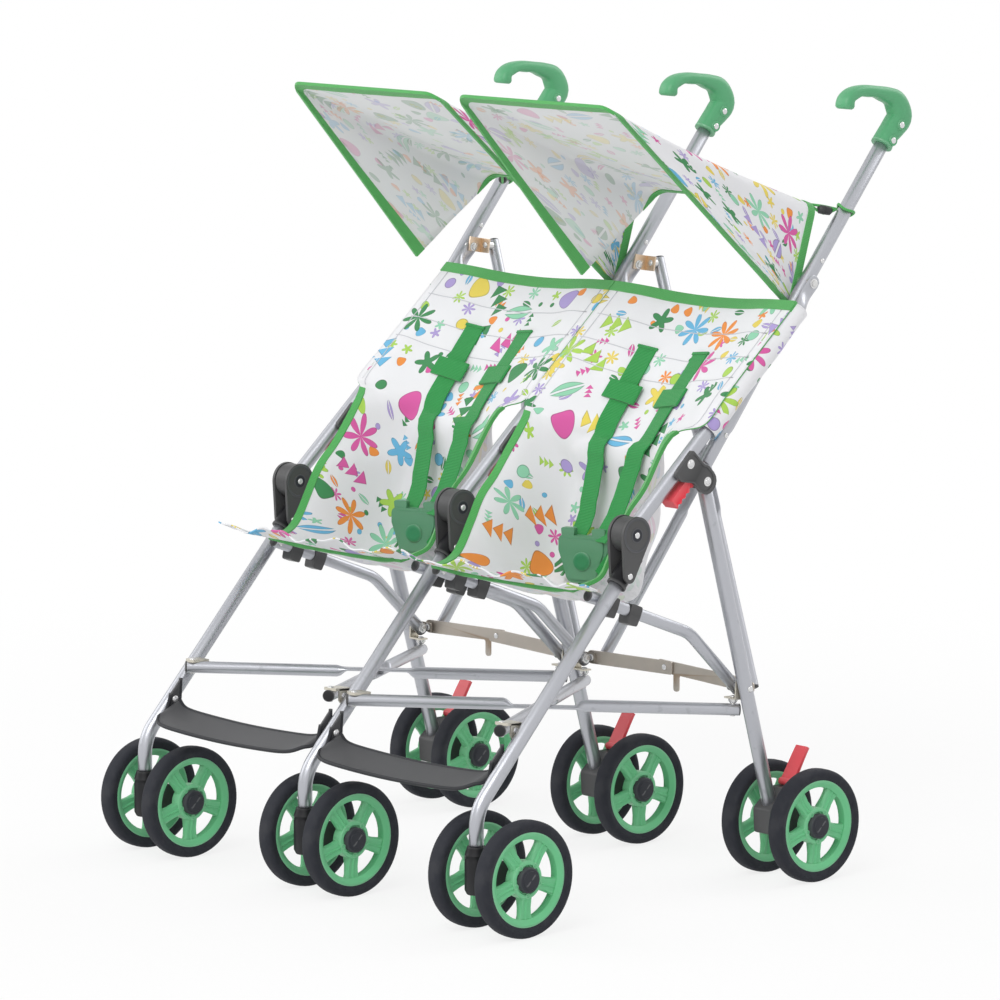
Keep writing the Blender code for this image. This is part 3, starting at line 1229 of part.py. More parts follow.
def main():
    """Clear the scene and build every sub-part."""
    for thing in list(bpy.data.objects):
        bpy.data.objects.remove(thing)
    inner_sides = {"left": (1.0,), "middle": (-1.0, 1.0), "right": (-1.0,)}
    for name, x in FRAMES:
        back_frame(name, x, inner_sides[name])
        grip(name, x)
        fold_bracket(name, x)
        latch(name, x)
        rear_leg(name, x, inner_sides[name])
        brake_lever(name, x)
        front_leg(name, x)
        caster(name, x)
    wheels()
    for name, side in SEATS:
        scissor_bracket(name, side)
        scissor_bars(name, side)
        brace_bracket(name, side)
        brace_bars(name, side)
        lock_bars(name, side)
        footrest(name, side)
        seat(name, side)
        canopy(name, side)
        harness(name, side)


main()
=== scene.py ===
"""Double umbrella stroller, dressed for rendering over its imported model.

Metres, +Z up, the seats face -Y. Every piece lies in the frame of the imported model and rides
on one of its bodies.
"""

from __future__ import annotations

import logging
import math
from dataclasses import dataclass, field
from enum import Enum
from typing import ClassVar, Iterable, Sequence, TypeVar, Union

import bmesh
import bpy
from mathutils import Matrix, Vector

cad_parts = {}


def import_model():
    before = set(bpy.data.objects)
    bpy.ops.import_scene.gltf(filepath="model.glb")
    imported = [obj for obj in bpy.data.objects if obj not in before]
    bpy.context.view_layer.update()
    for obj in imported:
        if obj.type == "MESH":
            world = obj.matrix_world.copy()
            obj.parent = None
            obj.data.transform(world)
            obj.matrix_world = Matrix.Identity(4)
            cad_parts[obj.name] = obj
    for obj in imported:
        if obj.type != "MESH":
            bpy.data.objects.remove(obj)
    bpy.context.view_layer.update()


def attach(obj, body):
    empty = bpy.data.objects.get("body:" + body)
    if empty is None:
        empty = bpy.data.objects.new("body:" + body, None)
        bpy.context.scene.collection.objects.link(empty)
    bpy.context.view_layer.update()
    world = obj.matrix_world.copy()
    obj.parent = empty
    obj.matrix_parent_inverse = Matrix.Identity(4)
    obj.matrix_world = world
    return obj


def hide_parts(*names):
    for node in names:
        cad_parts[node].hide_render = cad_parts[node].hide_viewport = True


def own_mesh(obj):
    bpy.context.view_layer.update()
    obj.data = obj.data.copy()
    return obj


LOG = logging.getLogger("stroller")
X = Vector((1.0, 0.0, 0.0))
Y = Vector((0.0, 1.0, 0.0))
Z = Vector((0.0, 0.0, 1.0))
ORIGIN = Vector((0.0, 0.0, 0.0))
BOTH = (-1.0, 1.0)
Colour = tuple[float, float, float]
Ring = list[Vector]
Number = TypeVar("Number", float, Vector)


class Side(Enum):
    """The two seats, as seen from the front."""

    LEFT = -1.0
    RIGHT = 1.0

    @property
    def label(self) -> str:
        """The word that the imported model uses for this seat."""
        return self.name.lower()


class Frame(Enum):
    """The three side frames, by their place in frame spacings."""

    LEFT = -1
    MIDDLE = 0
    RIGHT = 1

    @property
    def label(self) -> str:
        """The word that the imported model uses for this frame."""
        return self.name.lower()

    @property
    def inner_sides(self) -> tuple[float, ...]:
        """The directions along x in which the frame has a neighbour."""
        return {Frame.LEFT: (1.0,), Frame.MIDDLE: (-1.0, 1.0), Frame.RIGHT: (-1.0,)}[self]


class Axle(Enum):
    """Which pair of wheels of a frame."""

    FRONT = "front"
    REAR = "rear"


def printed(red: int, green: int, blue: int) -> Colour:
    """A colour as it looks on a screen, from 0 to 255.

    Args:
        red: Red part.
        green: Green part.
        blue: Blue part.

    Returns:
        The same colour in linear light.
    """
    def linear(part: int) -> float:
        """One part of the colour in linear light."""
        share = part / 255
        return share / 12.92 if share <= 0.04045 else ((share + 0.055) / 1.055) ** 2.4

    return linear(red), linear(green), linear(blue)


# Shader maths

Operand = Union["Signal", float, int, Colour]


class Signal:
    """A shader socket that can be used in sums; colours and vectors go through Vector Math."""

    def __init__(self, shader: NodeTree, socket: bpy.types.NodeSocket) -> None:
        """Wrap a socket.

        Args:
            shader: The nodes that it belongs to.
            socket: The output that the signal stands for.
        """
        self.shader = shader
        self.socket = socket

    @property
    def wide(self) -> bool:
        """Whether the socket carries a colour or a vector."""
        return self.socket.type in ("RGBA", "VECTOR")

    def maths(self, operation: str, *values: Operand) -> Signal:
        """One Math or Vector Math node.

        Args:
            operation: The node's operation.
            values: What goes into its sockets, in order.

        Returns:
            The node's result.
        """
        wide = any(isinstance(value, tuple) or (isinstance(value, Signal) and value.wide) for value in values)
        if wide:
            values = tuple((value,) * 3 if isinstance(value, (int, float)) else value for value in values)
        kind = "ShaderNodeVectorMath" if wide else "ShaderNodeMath"
        return self.shader.node(kind, {"operation": operation}, dict(enumerate(values)))

    def __add__(self, other: Operand) -> Signal:
        """Sum."""
        return self.maths("ADD", self, other)

    def __radd__(self, other: Operand) -> Signal:
        """Sum, from the right."""
        return self.maths("ADD", other, self)

    def __sub__(self, other: Operand) -> Signal:
        """Difference."""
        return self.maths("SUBTRACT", self, other)

    def __rsub__(self, other: Operand) -> Signal:
        """Difference, from the right."""
        return self.maths("SUBTRACT", other, self)

    def __mul__(self, other: Operand) -> Signal:
        """Product."""
        return self.maths("MULTIPLY", self, other)

    def __rmul__(self, other: Operand) -> Signal:
        """Product, from the right."""
        return self.maths("MULTIPLY", other, self)

    def __truediv__(self, other: Operand) -> Signal:
        """Quotient."""
        return self.maths("DIVIDE", self, other)

    def __pow__(self, other: Operand) -> Signal:
        """Power."""
        return self.maths("POWER", self, other)

    def __lt__(self, other: Operand) -> Signal:
        """1 where the signal is less."""
        return self.maths("LESS_THAN", self, other)

    def __gt__(self, other: Operand) -> Signal:
        """1 where the signal is greater."""
        return self.maths("GREATER_THAN", self, other)

    def __abs__(self) -> Signal:
        """Size without sign."""
        return self.maths("ABSOLUTE", self)

    def wave(self) -> Signal:
        """Cosine."""
        return self.maths("COSINE", self)

    def fraction(self) -> Signal:
        """What is left after whole numbers."""
        return self.maths("FRACT", self)

    def larger(self, other: Operand) -> Signal:
        """The larger of two."""
        return self.maths("MAXIMUM", self, other)

    def smaller(self, other: Operand) -> Signal:
        """The smaller of two."""
        return self.maths("MINIMUM", self, other)

    def ramp(self, low: float, high: float) -> Signal:
        """A smooth step from 0 to 1.

        Args:
            low: Where the step starts.
            high: Where it ends.

        Returns:
            The stepped signal.
        """
        return self.shader.node("ShaderNodeMapRange", {"interpolation_type": "SMOOTHSTEP"},
                                {0: self, 1: low, 2: high})

    def part(self, index: int) -> Signal:
        """One number of a vector or colour."""
        split = self.shader.raw("ShaderNodeSeparateXYZ", {}, {0: self})
        return Signal(self.shader, split.outputs[index])

    def toward(self, other: Operand, share: Operand) -> Signal:
        """This colour mixed with another.

        Args:
            other: The other colour.
            share: How much of it, from 0 to 1.

        Returns:
            The mixed colour.
        """
        return self.shader.mix(self, other, share)


class NodeTree:
    """The nodes of a material or world under construction."""

    def __init__(self, tree: bpy.types.NodeTree) -> None:
        """Take up an existing tree."""
        self.tree = tree

    def raw(self, kind: str, settings: dict, inputs: dict) -> bpy.types.Node:
        """Any node, with its settings made first and its sockets filled.

        Args:
            kind: Blender's name of the node type.
            settings: The node's own properties.
            inputs: Values or signals by socket index or name.

        Returns:
            The node.
        """
        made = self.tree.nodes.new(kind)
        for key, value in settings.items():
            if key == "stops":
                self._stops(made, value)
            else:
                setattr(made, key, value)
        for key, value in inputs.items():
            self.fill(made.inputs[key], value)
        return made

    def node(self, kind: str, settings: dict, inputs: dict, output: int | str = 0) -> Signal:
        """Any node, as the signal of one of its outputs.

        Args:
            kind: Blender's name of the node type.
            settings: The node's own properties.
            inputs: Values or signals by socket index or name.
            output: Which output to take.

        Returns:
            That output.
        """
        return Signal(self, self.raw(kind, settings, inputs).outputs[output])

    def _stops(self, made: bpy.types.Node, stops: Sequence[tuple[float, Colour]]) -> None:
        """Set the stops of a colour ramp.

        Args:
            made: The ramp node.
            stops: Places and colours.
        """
        elements = made.color_ramp.elements
        while len(elements) < len(stops):
            elements.new(1.0)
        for element, (place, colour) in zip(elements, stops):
            element.position = place
            element.color = (*colour, 1.0)

    def fill(self, socket: bpy.types.NodeSocket, value: Operand) -> None:
        """Link a signal to a socket, or write a value on it.

        Args:
            socket: The input to fill.
            value: What goes in.
        """
        if isinstance(value, Signal):
            self.tree.links.new(value.socket, socket)
        elif isinstance(value, tuple) and socket.type == "RGBA":
            socket.default_value = (*value, 1.0)
        else:
            socket.default_value = value

    def colour(self, value: Colour) -> Signal:
        """A colour that sums can start from.

        Args:
            value: The colour.

        Returns:
            Its signal.
        """
        made = self.raw("ShaderNodeRGB", {}, {})
        made.outputs[0].default_value = (*value, 1.0)
        return Signal(self, made.outputs[0])

    def mix(self, first: Operand, second: Operand, share: Operand) -> Signal:
        """Two colours mixed; the share runs from 0 for the first to 1 for the second."""
        return self.node("ShaderNodeMix", {"data_type": "RGBA"}, {0: share, 6: first, 7: second}, 2)

    def seen(self) -> Signal:
        """Where rays show the thing itself.

        Returns:
            1 for the camera's, mirrored and passing rays, 0 for rays that only light others.
        """
        rays = self.raw("ShaderNodeLightPath", {}, {})
        camera, mirrored, passing = (Signal(self, rays.outputs[f"Is {word} Ray"])
                                     for word in ("Camera", "Glossy", "Transmission"))
        return camera.larger(mirrored).larger(passing)


class Shader(NodeTree):
    """A material under construction round one Principled shader."""

    def __init__(self, name: str) -> None:
        """Start the material.

        Args:
            name: The material's name.
        """
        self.material = bpy.data.materials.new(name)
        self.material.use_nodes = True
        super().__init__(self.material.node_tree)
        self.surface = self.tree.nodes["Principled BSDF"]

    def set(self, **values: Operand) -> None:
        """Fill sockets of the Principled shader, named with _ for a space."""
        for key, value in values.items():
            self.fill(self.surface.inputs[key.replace("_", " ")], value)

    def place(self) -> Signal:
        """Where a point lies on the resting object, in metres."""
        return self.node("ShaderNodeTexCoord", {}, {}, "Object")

    def flat_place(self) -> Signal:
        """Where a point lies on the flat cloth, in metres."""
        return self.node("ShaderNodeTexCoord", {}, {}, "UV")

    def noise(self, scale: float, detail: float = 3.0, at: Signal | None = None) -> Signal:
        """Cloudy noise.

        Args:
            scale: Clouds per metre.
            detail: How many finer layers it has.
            at: Where it is read; on the object if left out.

        Returns:
            Noise from 0 to 1.
        """
        inputs = {"Vector": at or self.place(), "Scale": scale, "Detail": detail}
        return self.node("ShaderNodeTexNoise", {}, inputs, "Fac")

    def bump(self, height: Signal, depth: float, strength: float = 1.0) -> None:
        """Give the surface relief.

        Args:
            height: Relief, from 0 to 1.
            depth: What 1 stands for, in metres.
            strength: How much of it is used.
        """
        inputs = {"Height": height, "Distance": depth, "Strength": strength}
        self.set(Normal=self.node("ShaderNodeBump", {}, inputs))

    def edges(self) -> Signal:
        """1 along worn outer edges, 0 elsewhere."""
        return self.node("ShaderNodeNewGeometry", {}, {}, "Pointiness").ramp(0.53, 0.60)


# Finishes

@dataclass(frozen=True)
class Finish:
    """What a surface is made of, and the record's slot it takes its finish from."""

    name: str
    slot: str
    colour: Colour
    roughness: float = 0.5

    def dress(self, shader: Shader) -> None:
        """Build the finish on a shader.

        Args:
            shader: The material under construction.
        """
        raise NotImplementedError

    def material(self) -> bpy.types.Material:
        """The finish as a material, made once.

        Returns:
            The material.
        """
        existing = bpy.data.materials.get(self.name)
        if existing:
            return existing
        shader = Shader(self.name)
        self.dress(shader)
        shader.material.diffuse_color = (*self.colour, 1.0)
        return shader.material


@dataclass(frozen=True)
class DrawnTube(Finish):
    """Satin anodised tube, with faint drawing streaks and small scuffs."""

    def dress(self, shader: Shader) -> None:
        """Build the tube finish.

        Args:
            shader: The material under construction.
        """
        cloud = shader.noise(9.0, 4.0)
        grain = shader.noise(1400.0, 2.0)
        scuff = shader.noise(70.0, 6.0).ramp(0.62, 0.72)
        tone = 0.93 + cloud * 0.10 - scuff * 0.10
        shader.set(Base_Color=shader.colour(self.colour) * tone, Metallic=0.85,
                   Roughness=self.roughness + cloud * 0.08 + grain * 0.06 + scuff * 0.12)
        shader.bump(grain + scuff * 0.6, 0.00006)


@dataclass(frozen=True)
class PlatedSteel(Finish):
    """Stamped steel with a plated skin, cloudy and worn at its edges."""

    def dress(self, shader: Shader) -> None:
        """Build the plated finish.

        Args:
            shader: The material under construction.
        """
        cloud = shader.noise(60.0, 5.0)
        grain = shader.noise(900.0, 2.0)
        worn = shader.edges()
        base = shader.colour(self.colour) * (0.82 + cloud * 0.36)
        shader.set(Base_Color=base.toward((0.62, 0.61, 0.58), worn * 0.5), Metallic=0.75,
                   Roughness=self.roughness + cloud * 0.16 - worn * 0.08)
        shader.bump(grain + cloud * 0.5, 0.00008)


@dataclass(frozen=True)
class MouldedPlastic(Finish):
    """Injection-moulded plastic with a spark-eroded grain and paler rubbed edges."""

    grain: float = 1600.0
    shine: float = 0.5

    def dress(self, shader: Shader) -> None:
        """Build the plastic finish.

        Args:
            shader: The material under construction.
        """
        cloud = shader.noise(26.0, 3.0)
        grain = shader.noise(self.grain, 2.0)
        worn = shader.edges()
        base = shader.colour(self.colour) * (0.92 + cloud * 0.16)
        pale = tuple(part + (1.0 - part) * 0.25 for part in self.colour)
        shader.set(Base_Color=base.toward(pale, worn * 0.35), Roughness=self.roughness + grain * 0.12 - worn * 0.05,
                   Specular_IOR_Level=self.shine)
        shader.bump(grain, 0.00012, 0.7)


@dataclass(frozen=True)
class TyreFoam(Finish):
    """Dense foam tyre, fine-pored, dusty on its tread."""

    def dress(self, shader: Shader) -> None:
        """Build the foam finish.

        Args:
            shader: The material under construction.
        """
        pores = shader.noise(1100.0, 3.0)
        dust = shader.noise(45.0, 5.0).ramp(0.45, 0.75)
        base = shader.colour(self.colour).toward((0.075, 0.075, 0.08), dust * 0.25 + pores * 0.12)
        shader.set(Base_Color=base, Roughness=self.roughness + pores * 0.25, Specular_IOR_Level=0.22)
        shader.bump(pores, 0.00025)


@dataclass(frozen=True)
class Webbing(Finish):
    """Woven strap or binding, ribbed across its length; the cloth place runs along it first."""

    roughness: float = 0.80
    rib: float = 0.0021

    def dress(self, shader: Shader) -> None:
        """Build the woven finish.

        Args:
            shader: The material under construction.
        """
        flat = shader.flat_place()
        along, over = flat.part(0), flat.part(1)
        ribs = (along * (2 * math.pi / self.rib)).wave() * 0.5 + 0.5
        yarns = ((over + along * 0.4) * (2 * math.pi / (self.rib * 0.55))).wave() * 0.5 + 0.5
        fuzz = shader.noise(900.0, 3.0)
        weave = ribs * 0.7 + yarns * 0.3
        shader.set(Base_Color=shader.colour(self.colour) * (0.72 + weave * 0.34 + fuzz * 0.14),
                   Roughness=self.roughness + fuzz * 0.15, Sheen_Weight=0.25)
        shader.bump(weave + fuzz * 0.4, 0.0004)


@dataclass(frozen=True)
class PrintedCloth(Finish):
    """White polyester with a loose print of leaves, dots, stars and little trees."""

    roughness: float = 0.86
    strength: float = 1.0
    cell: float = 0.060
    thread: float = 0.0011

    INKS: ClassVar[tuple[Colour, ...]] = (
        printed(176, 216, 92), printed(150, 214, 180), printed(243, 150, 70), printed(110, 186, 226),
        printed(222, 96, 168), printed(66, 142, 88), printed(178, 160, 216), printed(236, 214, 96))

    def dress(self, shader: Shader) -> None:
        """Build the printed cloth.

        Args:
            shader: The material under construction.
        """
        flat = shader.flat_place()
        wrinkles = shader.noise(14.0, 4.0, flat)
        fuzz = shader.noise(700.0, 2.0, flat)
        base = shader.colour(self.colour) * (0.97 + fuzz * 0.04)
        for size, fill, shift in ((self.cell * 0.42, 0.50, 3.7), (self.cell, 1.0, 0.0)):
            base = self._print(shader, flat, base, size, fill, shift)
        threads = 2 * math.pi / self.thread
        weave = (flat.part(0) * threads).wave() * (flat.part(1) * threads).wave()
        shader.set(Base_Color=base, Roughness=self.roughness + fuzz * 0.10, Sheen_Weight=0.15)
        shader.bump(weave * 0.04 + fuzz * 0.06 + wrinkles, 0.0016)

    def _print(self, shader: Shader, flat: Signal, base: Signal, size: float, fill: float, shift: float) -> Signal:
        """One layer of scattered motifs.

        Args:
            shader: The material under construction.
            flat: Place on the flat cloth.
            base: Colour under the layer.
            size: Spacing of the motifs.
            fill: Share of the places that carry one.
            shift: Moves the layer's pattern.

        Returns:
            The colour with the layer on it.
        """
        at = flat * (1 / size) + shift
        cells = shader.raw("ShaderNodeTexVoronoi", {"voronoi_dimensions": "2D"},
                           {"Vector": at, "Scale": 1.0, "Randomness": 0.62})
        chance = Signal(shader, cells.outputs["Color"])
        kind, hue, turn = (chance.part(index) for index in range(3))
        offset = at - Signal(shader, cells.outputs["Position"])
        turned = shader.node("ShaderNodeVectorRotate", {"rotation_type": "Z_AXIS"},
                             {"Vector": offset, "Angle": turn * (2 * math.pi)})
        across, up = turned.part(0), turned.part(1)
        angle = across.maths("ARCTAN2", up, across)
        reach = (across * across + up * up) ** 0.5
        ink = shader.node("ShaderNodeValToRGB", {"stops": tuple(
            (index / len(self.INKS), colour) for index, colour in enumerate(self.INKS))}, {0: hue})
        ink.socket.node.color_ramp.interpolation = "CONSTANT"

        leaf = 0.19 * (1 - (up / 0.46) ** 2) - abs(across)
        vein = abs(across) - 0.018
        tree = 0.25 * (1 - ((up + 0.42) / 0.28).fraction()) - abs(across)
        tree = tree.smaller(0.42 - abs(up))
        star = 0.24 + (angle * 5).wave() * 0.10 - reach
        frond = abs((angle * 3.5).wave()) * 0.44 - reach
        bean = 0.30 - ((across * 1.1) ** 2 + (up + across * across * 1.9) ** 2) ** 0.5
        dot = 0.16 - reach
        shapes = (leaf.smaller(vein), tree, star, frond, bean, dot)
        depth: Signal | None = None
        for index, shape in enumerate(shapes):
            low = fill * index / len(shapes)
            chosen = (kind > low) * (kind < fill * (index + 1) / len(shapes))
            term = shape * chosen - (1 - chosen) * 10
            depth = term if depth is None else depth.larger(term)
        body = depth.ramp(0.0, 0.02)
        rim = body - depth.ramp(0.016, 0.034)
        inked = ink * (1 - rim * 0.62)
        return base.toward(inked, body * self.strength)


@dataclass(frozen=True)
class PaleFloor(Finish):
    """Studio floor: nearly white to the camera, and it keeps the shadow."""

    roughness: float = 0.9
    near: float = 0.7
    far: float = 2.4

    def dress(self, shader: Shader) -> None:
        """Build the floor.

        Args:
            shader: The material under construction.
        """
        shader.set(Base_Color=shader.colour(self.colour) * (0.99 + shader.noise(2.0) * 0.02), Roughness=self.roughness)
        glow = shader.raw("ShaderNodeEmission", {}, {"Color": (1.0, 1.0, 1.0), "Strength": 1.0})
        place = shader.place()
        away = ((place.part(0) ** 2 + place.part(1) ** 2) ** 0.5).ramp(self.near, self.far)
        blend = shader.raw("ShaderNodeMixShader", {}, {0: shader.seen() * (0.80 + away * 0.20)})
        shader.tree.links.new(shader.surface.outputs[0], blend.inputs[1])
        shader.tree.links.new(glow.outputs[0], blend.inputs[2])
        shader.tree.links.new(blend.outputs[0], shader.tree.nodes["Material Output"].inputs[0])


TUBE = DrawnTube("satin_tube", "satin_aluminium", (0.47, 0.48, 0.515), 0.26)
FASTENER = PlatedSteel("bright_rivet", "satin_aluminium", (0.70, 0.70, 0.71), 0.22)
BLACK = MouldedPlastic("black_moulding", "black_plastic", (0.010, 0.010, 0.012), 0.34, shine=0.24)
CAP = MouldedPlastic("grey_cap", "black_plastic", (0.026, 0.028, 0.036), 0.40, shine=0.24)
SLING = MouldedPlastic("footrest_sling", "footrest_cloth", (0.014, 0.015, 0.019), 0.42, 900.0, 0.28)
HANDLE = MouldedPlastic("green_grip", "green_plastic", printed(86, 166, 116), 0.34)
MINT = MouldedPlastic("mint_rim", "mint_plastic", printed(104, 192, 136), 0.36)
BUCKLE = MouldedPlastic("green_buckle", "green_webbing", printed(44, 132, 84), 0.36)
RED = MouldedPlastic("red_lever", "red_plastic", printed(232, 14, 46), 0.34)
TYRE = TyreFoam("tyre_foam_skin", "black_plastic", (0.022, 0.024, 0.032), 0.62)
BRONZE = PlatedSteel("bronze_bar", "bronze_steel", (0.36, 0.28, 0.21), 0.38)
ZINC = PlatedSteel("yellow_zinc", "zinc_steel", (0.62, 0.56, 0.42), 0.34)
COPPER = PlatedSteel("copper_plate", "copper_steel", (0.78, 0.50, 0.26), 0.30)
STRAP = Webbing("green_strap", "green_webbing", printed(40, 150, 72))
BINDING = Webbing("green_binding", "green_webbing", printed(84, 176, 92))
STITCH = Webbing("white_thread", "white_cloth", (0.62, 0.62, 0.66))
CLOTH = PrintedCloth("printed_cloth", "white_cloth", (0.86, 0.86, 0.885))
LINING = PrintedCloth("canopy_lining", "white_cloth", (0.85, 0.85, 0.87), strength=0.36)
UNDERSIDE = PrintedCloth("seat_underside", "white_cloth", (0.84, 0.84, 0.86), strength=0.22)
FLOOR = PaleFloor("pale_floor", "", (0.90, 0.90, 0.90))


# Shared geometry

def heading(degrees: float) -> Vector:
    """Unit vector in the side view, (y, z), at an angle above the rearward direction."""
    angle = math.radians(degrees)
    return Vector((math.cos(angle), math.sin(angle)))


def across(direction: Vector) -> Vector:
    """The side-view direction turned a quarter turn clockwise."""
    return Vector((direction[1], -direction[0]))


def at(x: float, point: Vector) -> Vector:
    """The 3D point over a side-view point."""
    return Vector((x, point[0], point[1]))


def side_axis(direction: Vector) -> Vector:
    """A side-view direction as a 3D one."""
    return Vector((0.0, direction[0], direction[1]))


def square_to(axis: Vector) -> tuple[Vector, Vector]:
    """Two directions at right angles to an axis.

    Args:
        axis: The axis.

    Returns:
        Both directions; the second points up where it can.
    """
    up = Z if abs(axis.z) < 0.9 else Y
    first = up.cross(axis).normalized()
    return first, axis.cross(first).normalized()


def ring(centre: Vector, first: Vector, second: Vector, wide: float, high: float, sides: int) -> Ring:
    """Points of an ellipse in the plane of two directions."""
    turns = [2 * math.pi * (index + 0.5) / sides for index in range(sides)]
    return [centre + first * wide * math.cos(turn) + second * high * math.sin(turn) for turn in turns]


def eased(share: float) -> float:
    """A share from 0 to 1 that starts and ends gently."""
    return share * share * (3 - 2 * share)


def bell(value: float, middle: float, spread: float) -> float:
    """1 at the middle, falling away to both sides."""
    return math.exp(-((value - middle) / spread) ** 2)


def curve(before: Number, start: Number, end: Number, after: Number, t: float) -> Number:
    """A place on the smooth curve between start and end; t runs from 0 to 1."""
    return 0.5 * (2 * start + (end - before) * t + (2 * before - 5 * start + 4 * end - after) * t * t
                  + (3 * start - before - 3 * end + after) * t ** 3)


def bent(points: Sequence[Vector], radius: float, steps: int) -> list[Vector]:
    """Side-view points with each inner corner replaced by an arc.

    Args:
        points: Corners of the path.
        radius: Radius of the arcs.
        steps: Pieces in each arc.

    Returns:
        The path with its arcs.
    """
    path = [points[0]]
    for before, corner, after in zip(points, points[1:], points[2:]):
        inward = (before - corner).normalized()
        outward = (after - corner).normalized()
        half = inward.angle(outward) / 2
        centre = corner + (inward + outward).normalized() * radius / math.sin(half)
        start = corner + inward * radius / math.tan(half)
        end = corner + outward * radius / math.tan(half)
        sign = math.copysign(1.0, (start - centre).angle_signed(end - centre))
        for step in range(steps + 1):
            angle = -sign * (math.pi - 2 * half) * step / steps
            path.append(centre + Matrix.Rotation(angle, 2) @ (start - centre))
    path.append(points[-1])
    return path


def rounded(corners: Sequence[tuple[float, float, float]]) -> list[Vector]:
    """An outline whose corners are rounded by arcs.

    Args:
        corners: Place and radius of each corner, (a, b, radius).

    Returns:
        Points of the outline.
    """
    outline: list[Vector] = []
    for index, (a, b, radius) in enumerate(corners):
        corner = Vector((a, b))
        if radius == 0:
            outline.append(corner)
            continue
        before = Vector(corners[index - 1][:2])
        after = Vector(corners[(index + 1) % len(corners)][:2])
        outline.extend(bent([before, corner, after], radius, 4)[1:-1])
    return outline


def shrunk(outline: Sequence[Vector], share: float) -> list[Vector]:
    """An outline drawn in round its middle, to a share of its size."""
    middle = sum(outline, Vector((0.0, 0.0))) / len(outline)
    return [middle + (point - middle) * share for point in outline]


def smooth_path(points: Sequence[Vector], steps: int) -> list[Vector]:
    """Points along a smooth curve through the given ones.

    Args:
        points: Points that the curve passes.
        steps: Pieces between two of them.

    Returns:
        The finer path.
    """
    path = []
    for index, (start, end) in enumerate(zip(points, points[1:])):
        before, after = points[max(index - 1, 0)], points[min(index + 2, len(points) - 1)]
        path += [curve(before, start, end, after, step / steps) for step in range(steps)]
    return [*path, points[-1]]


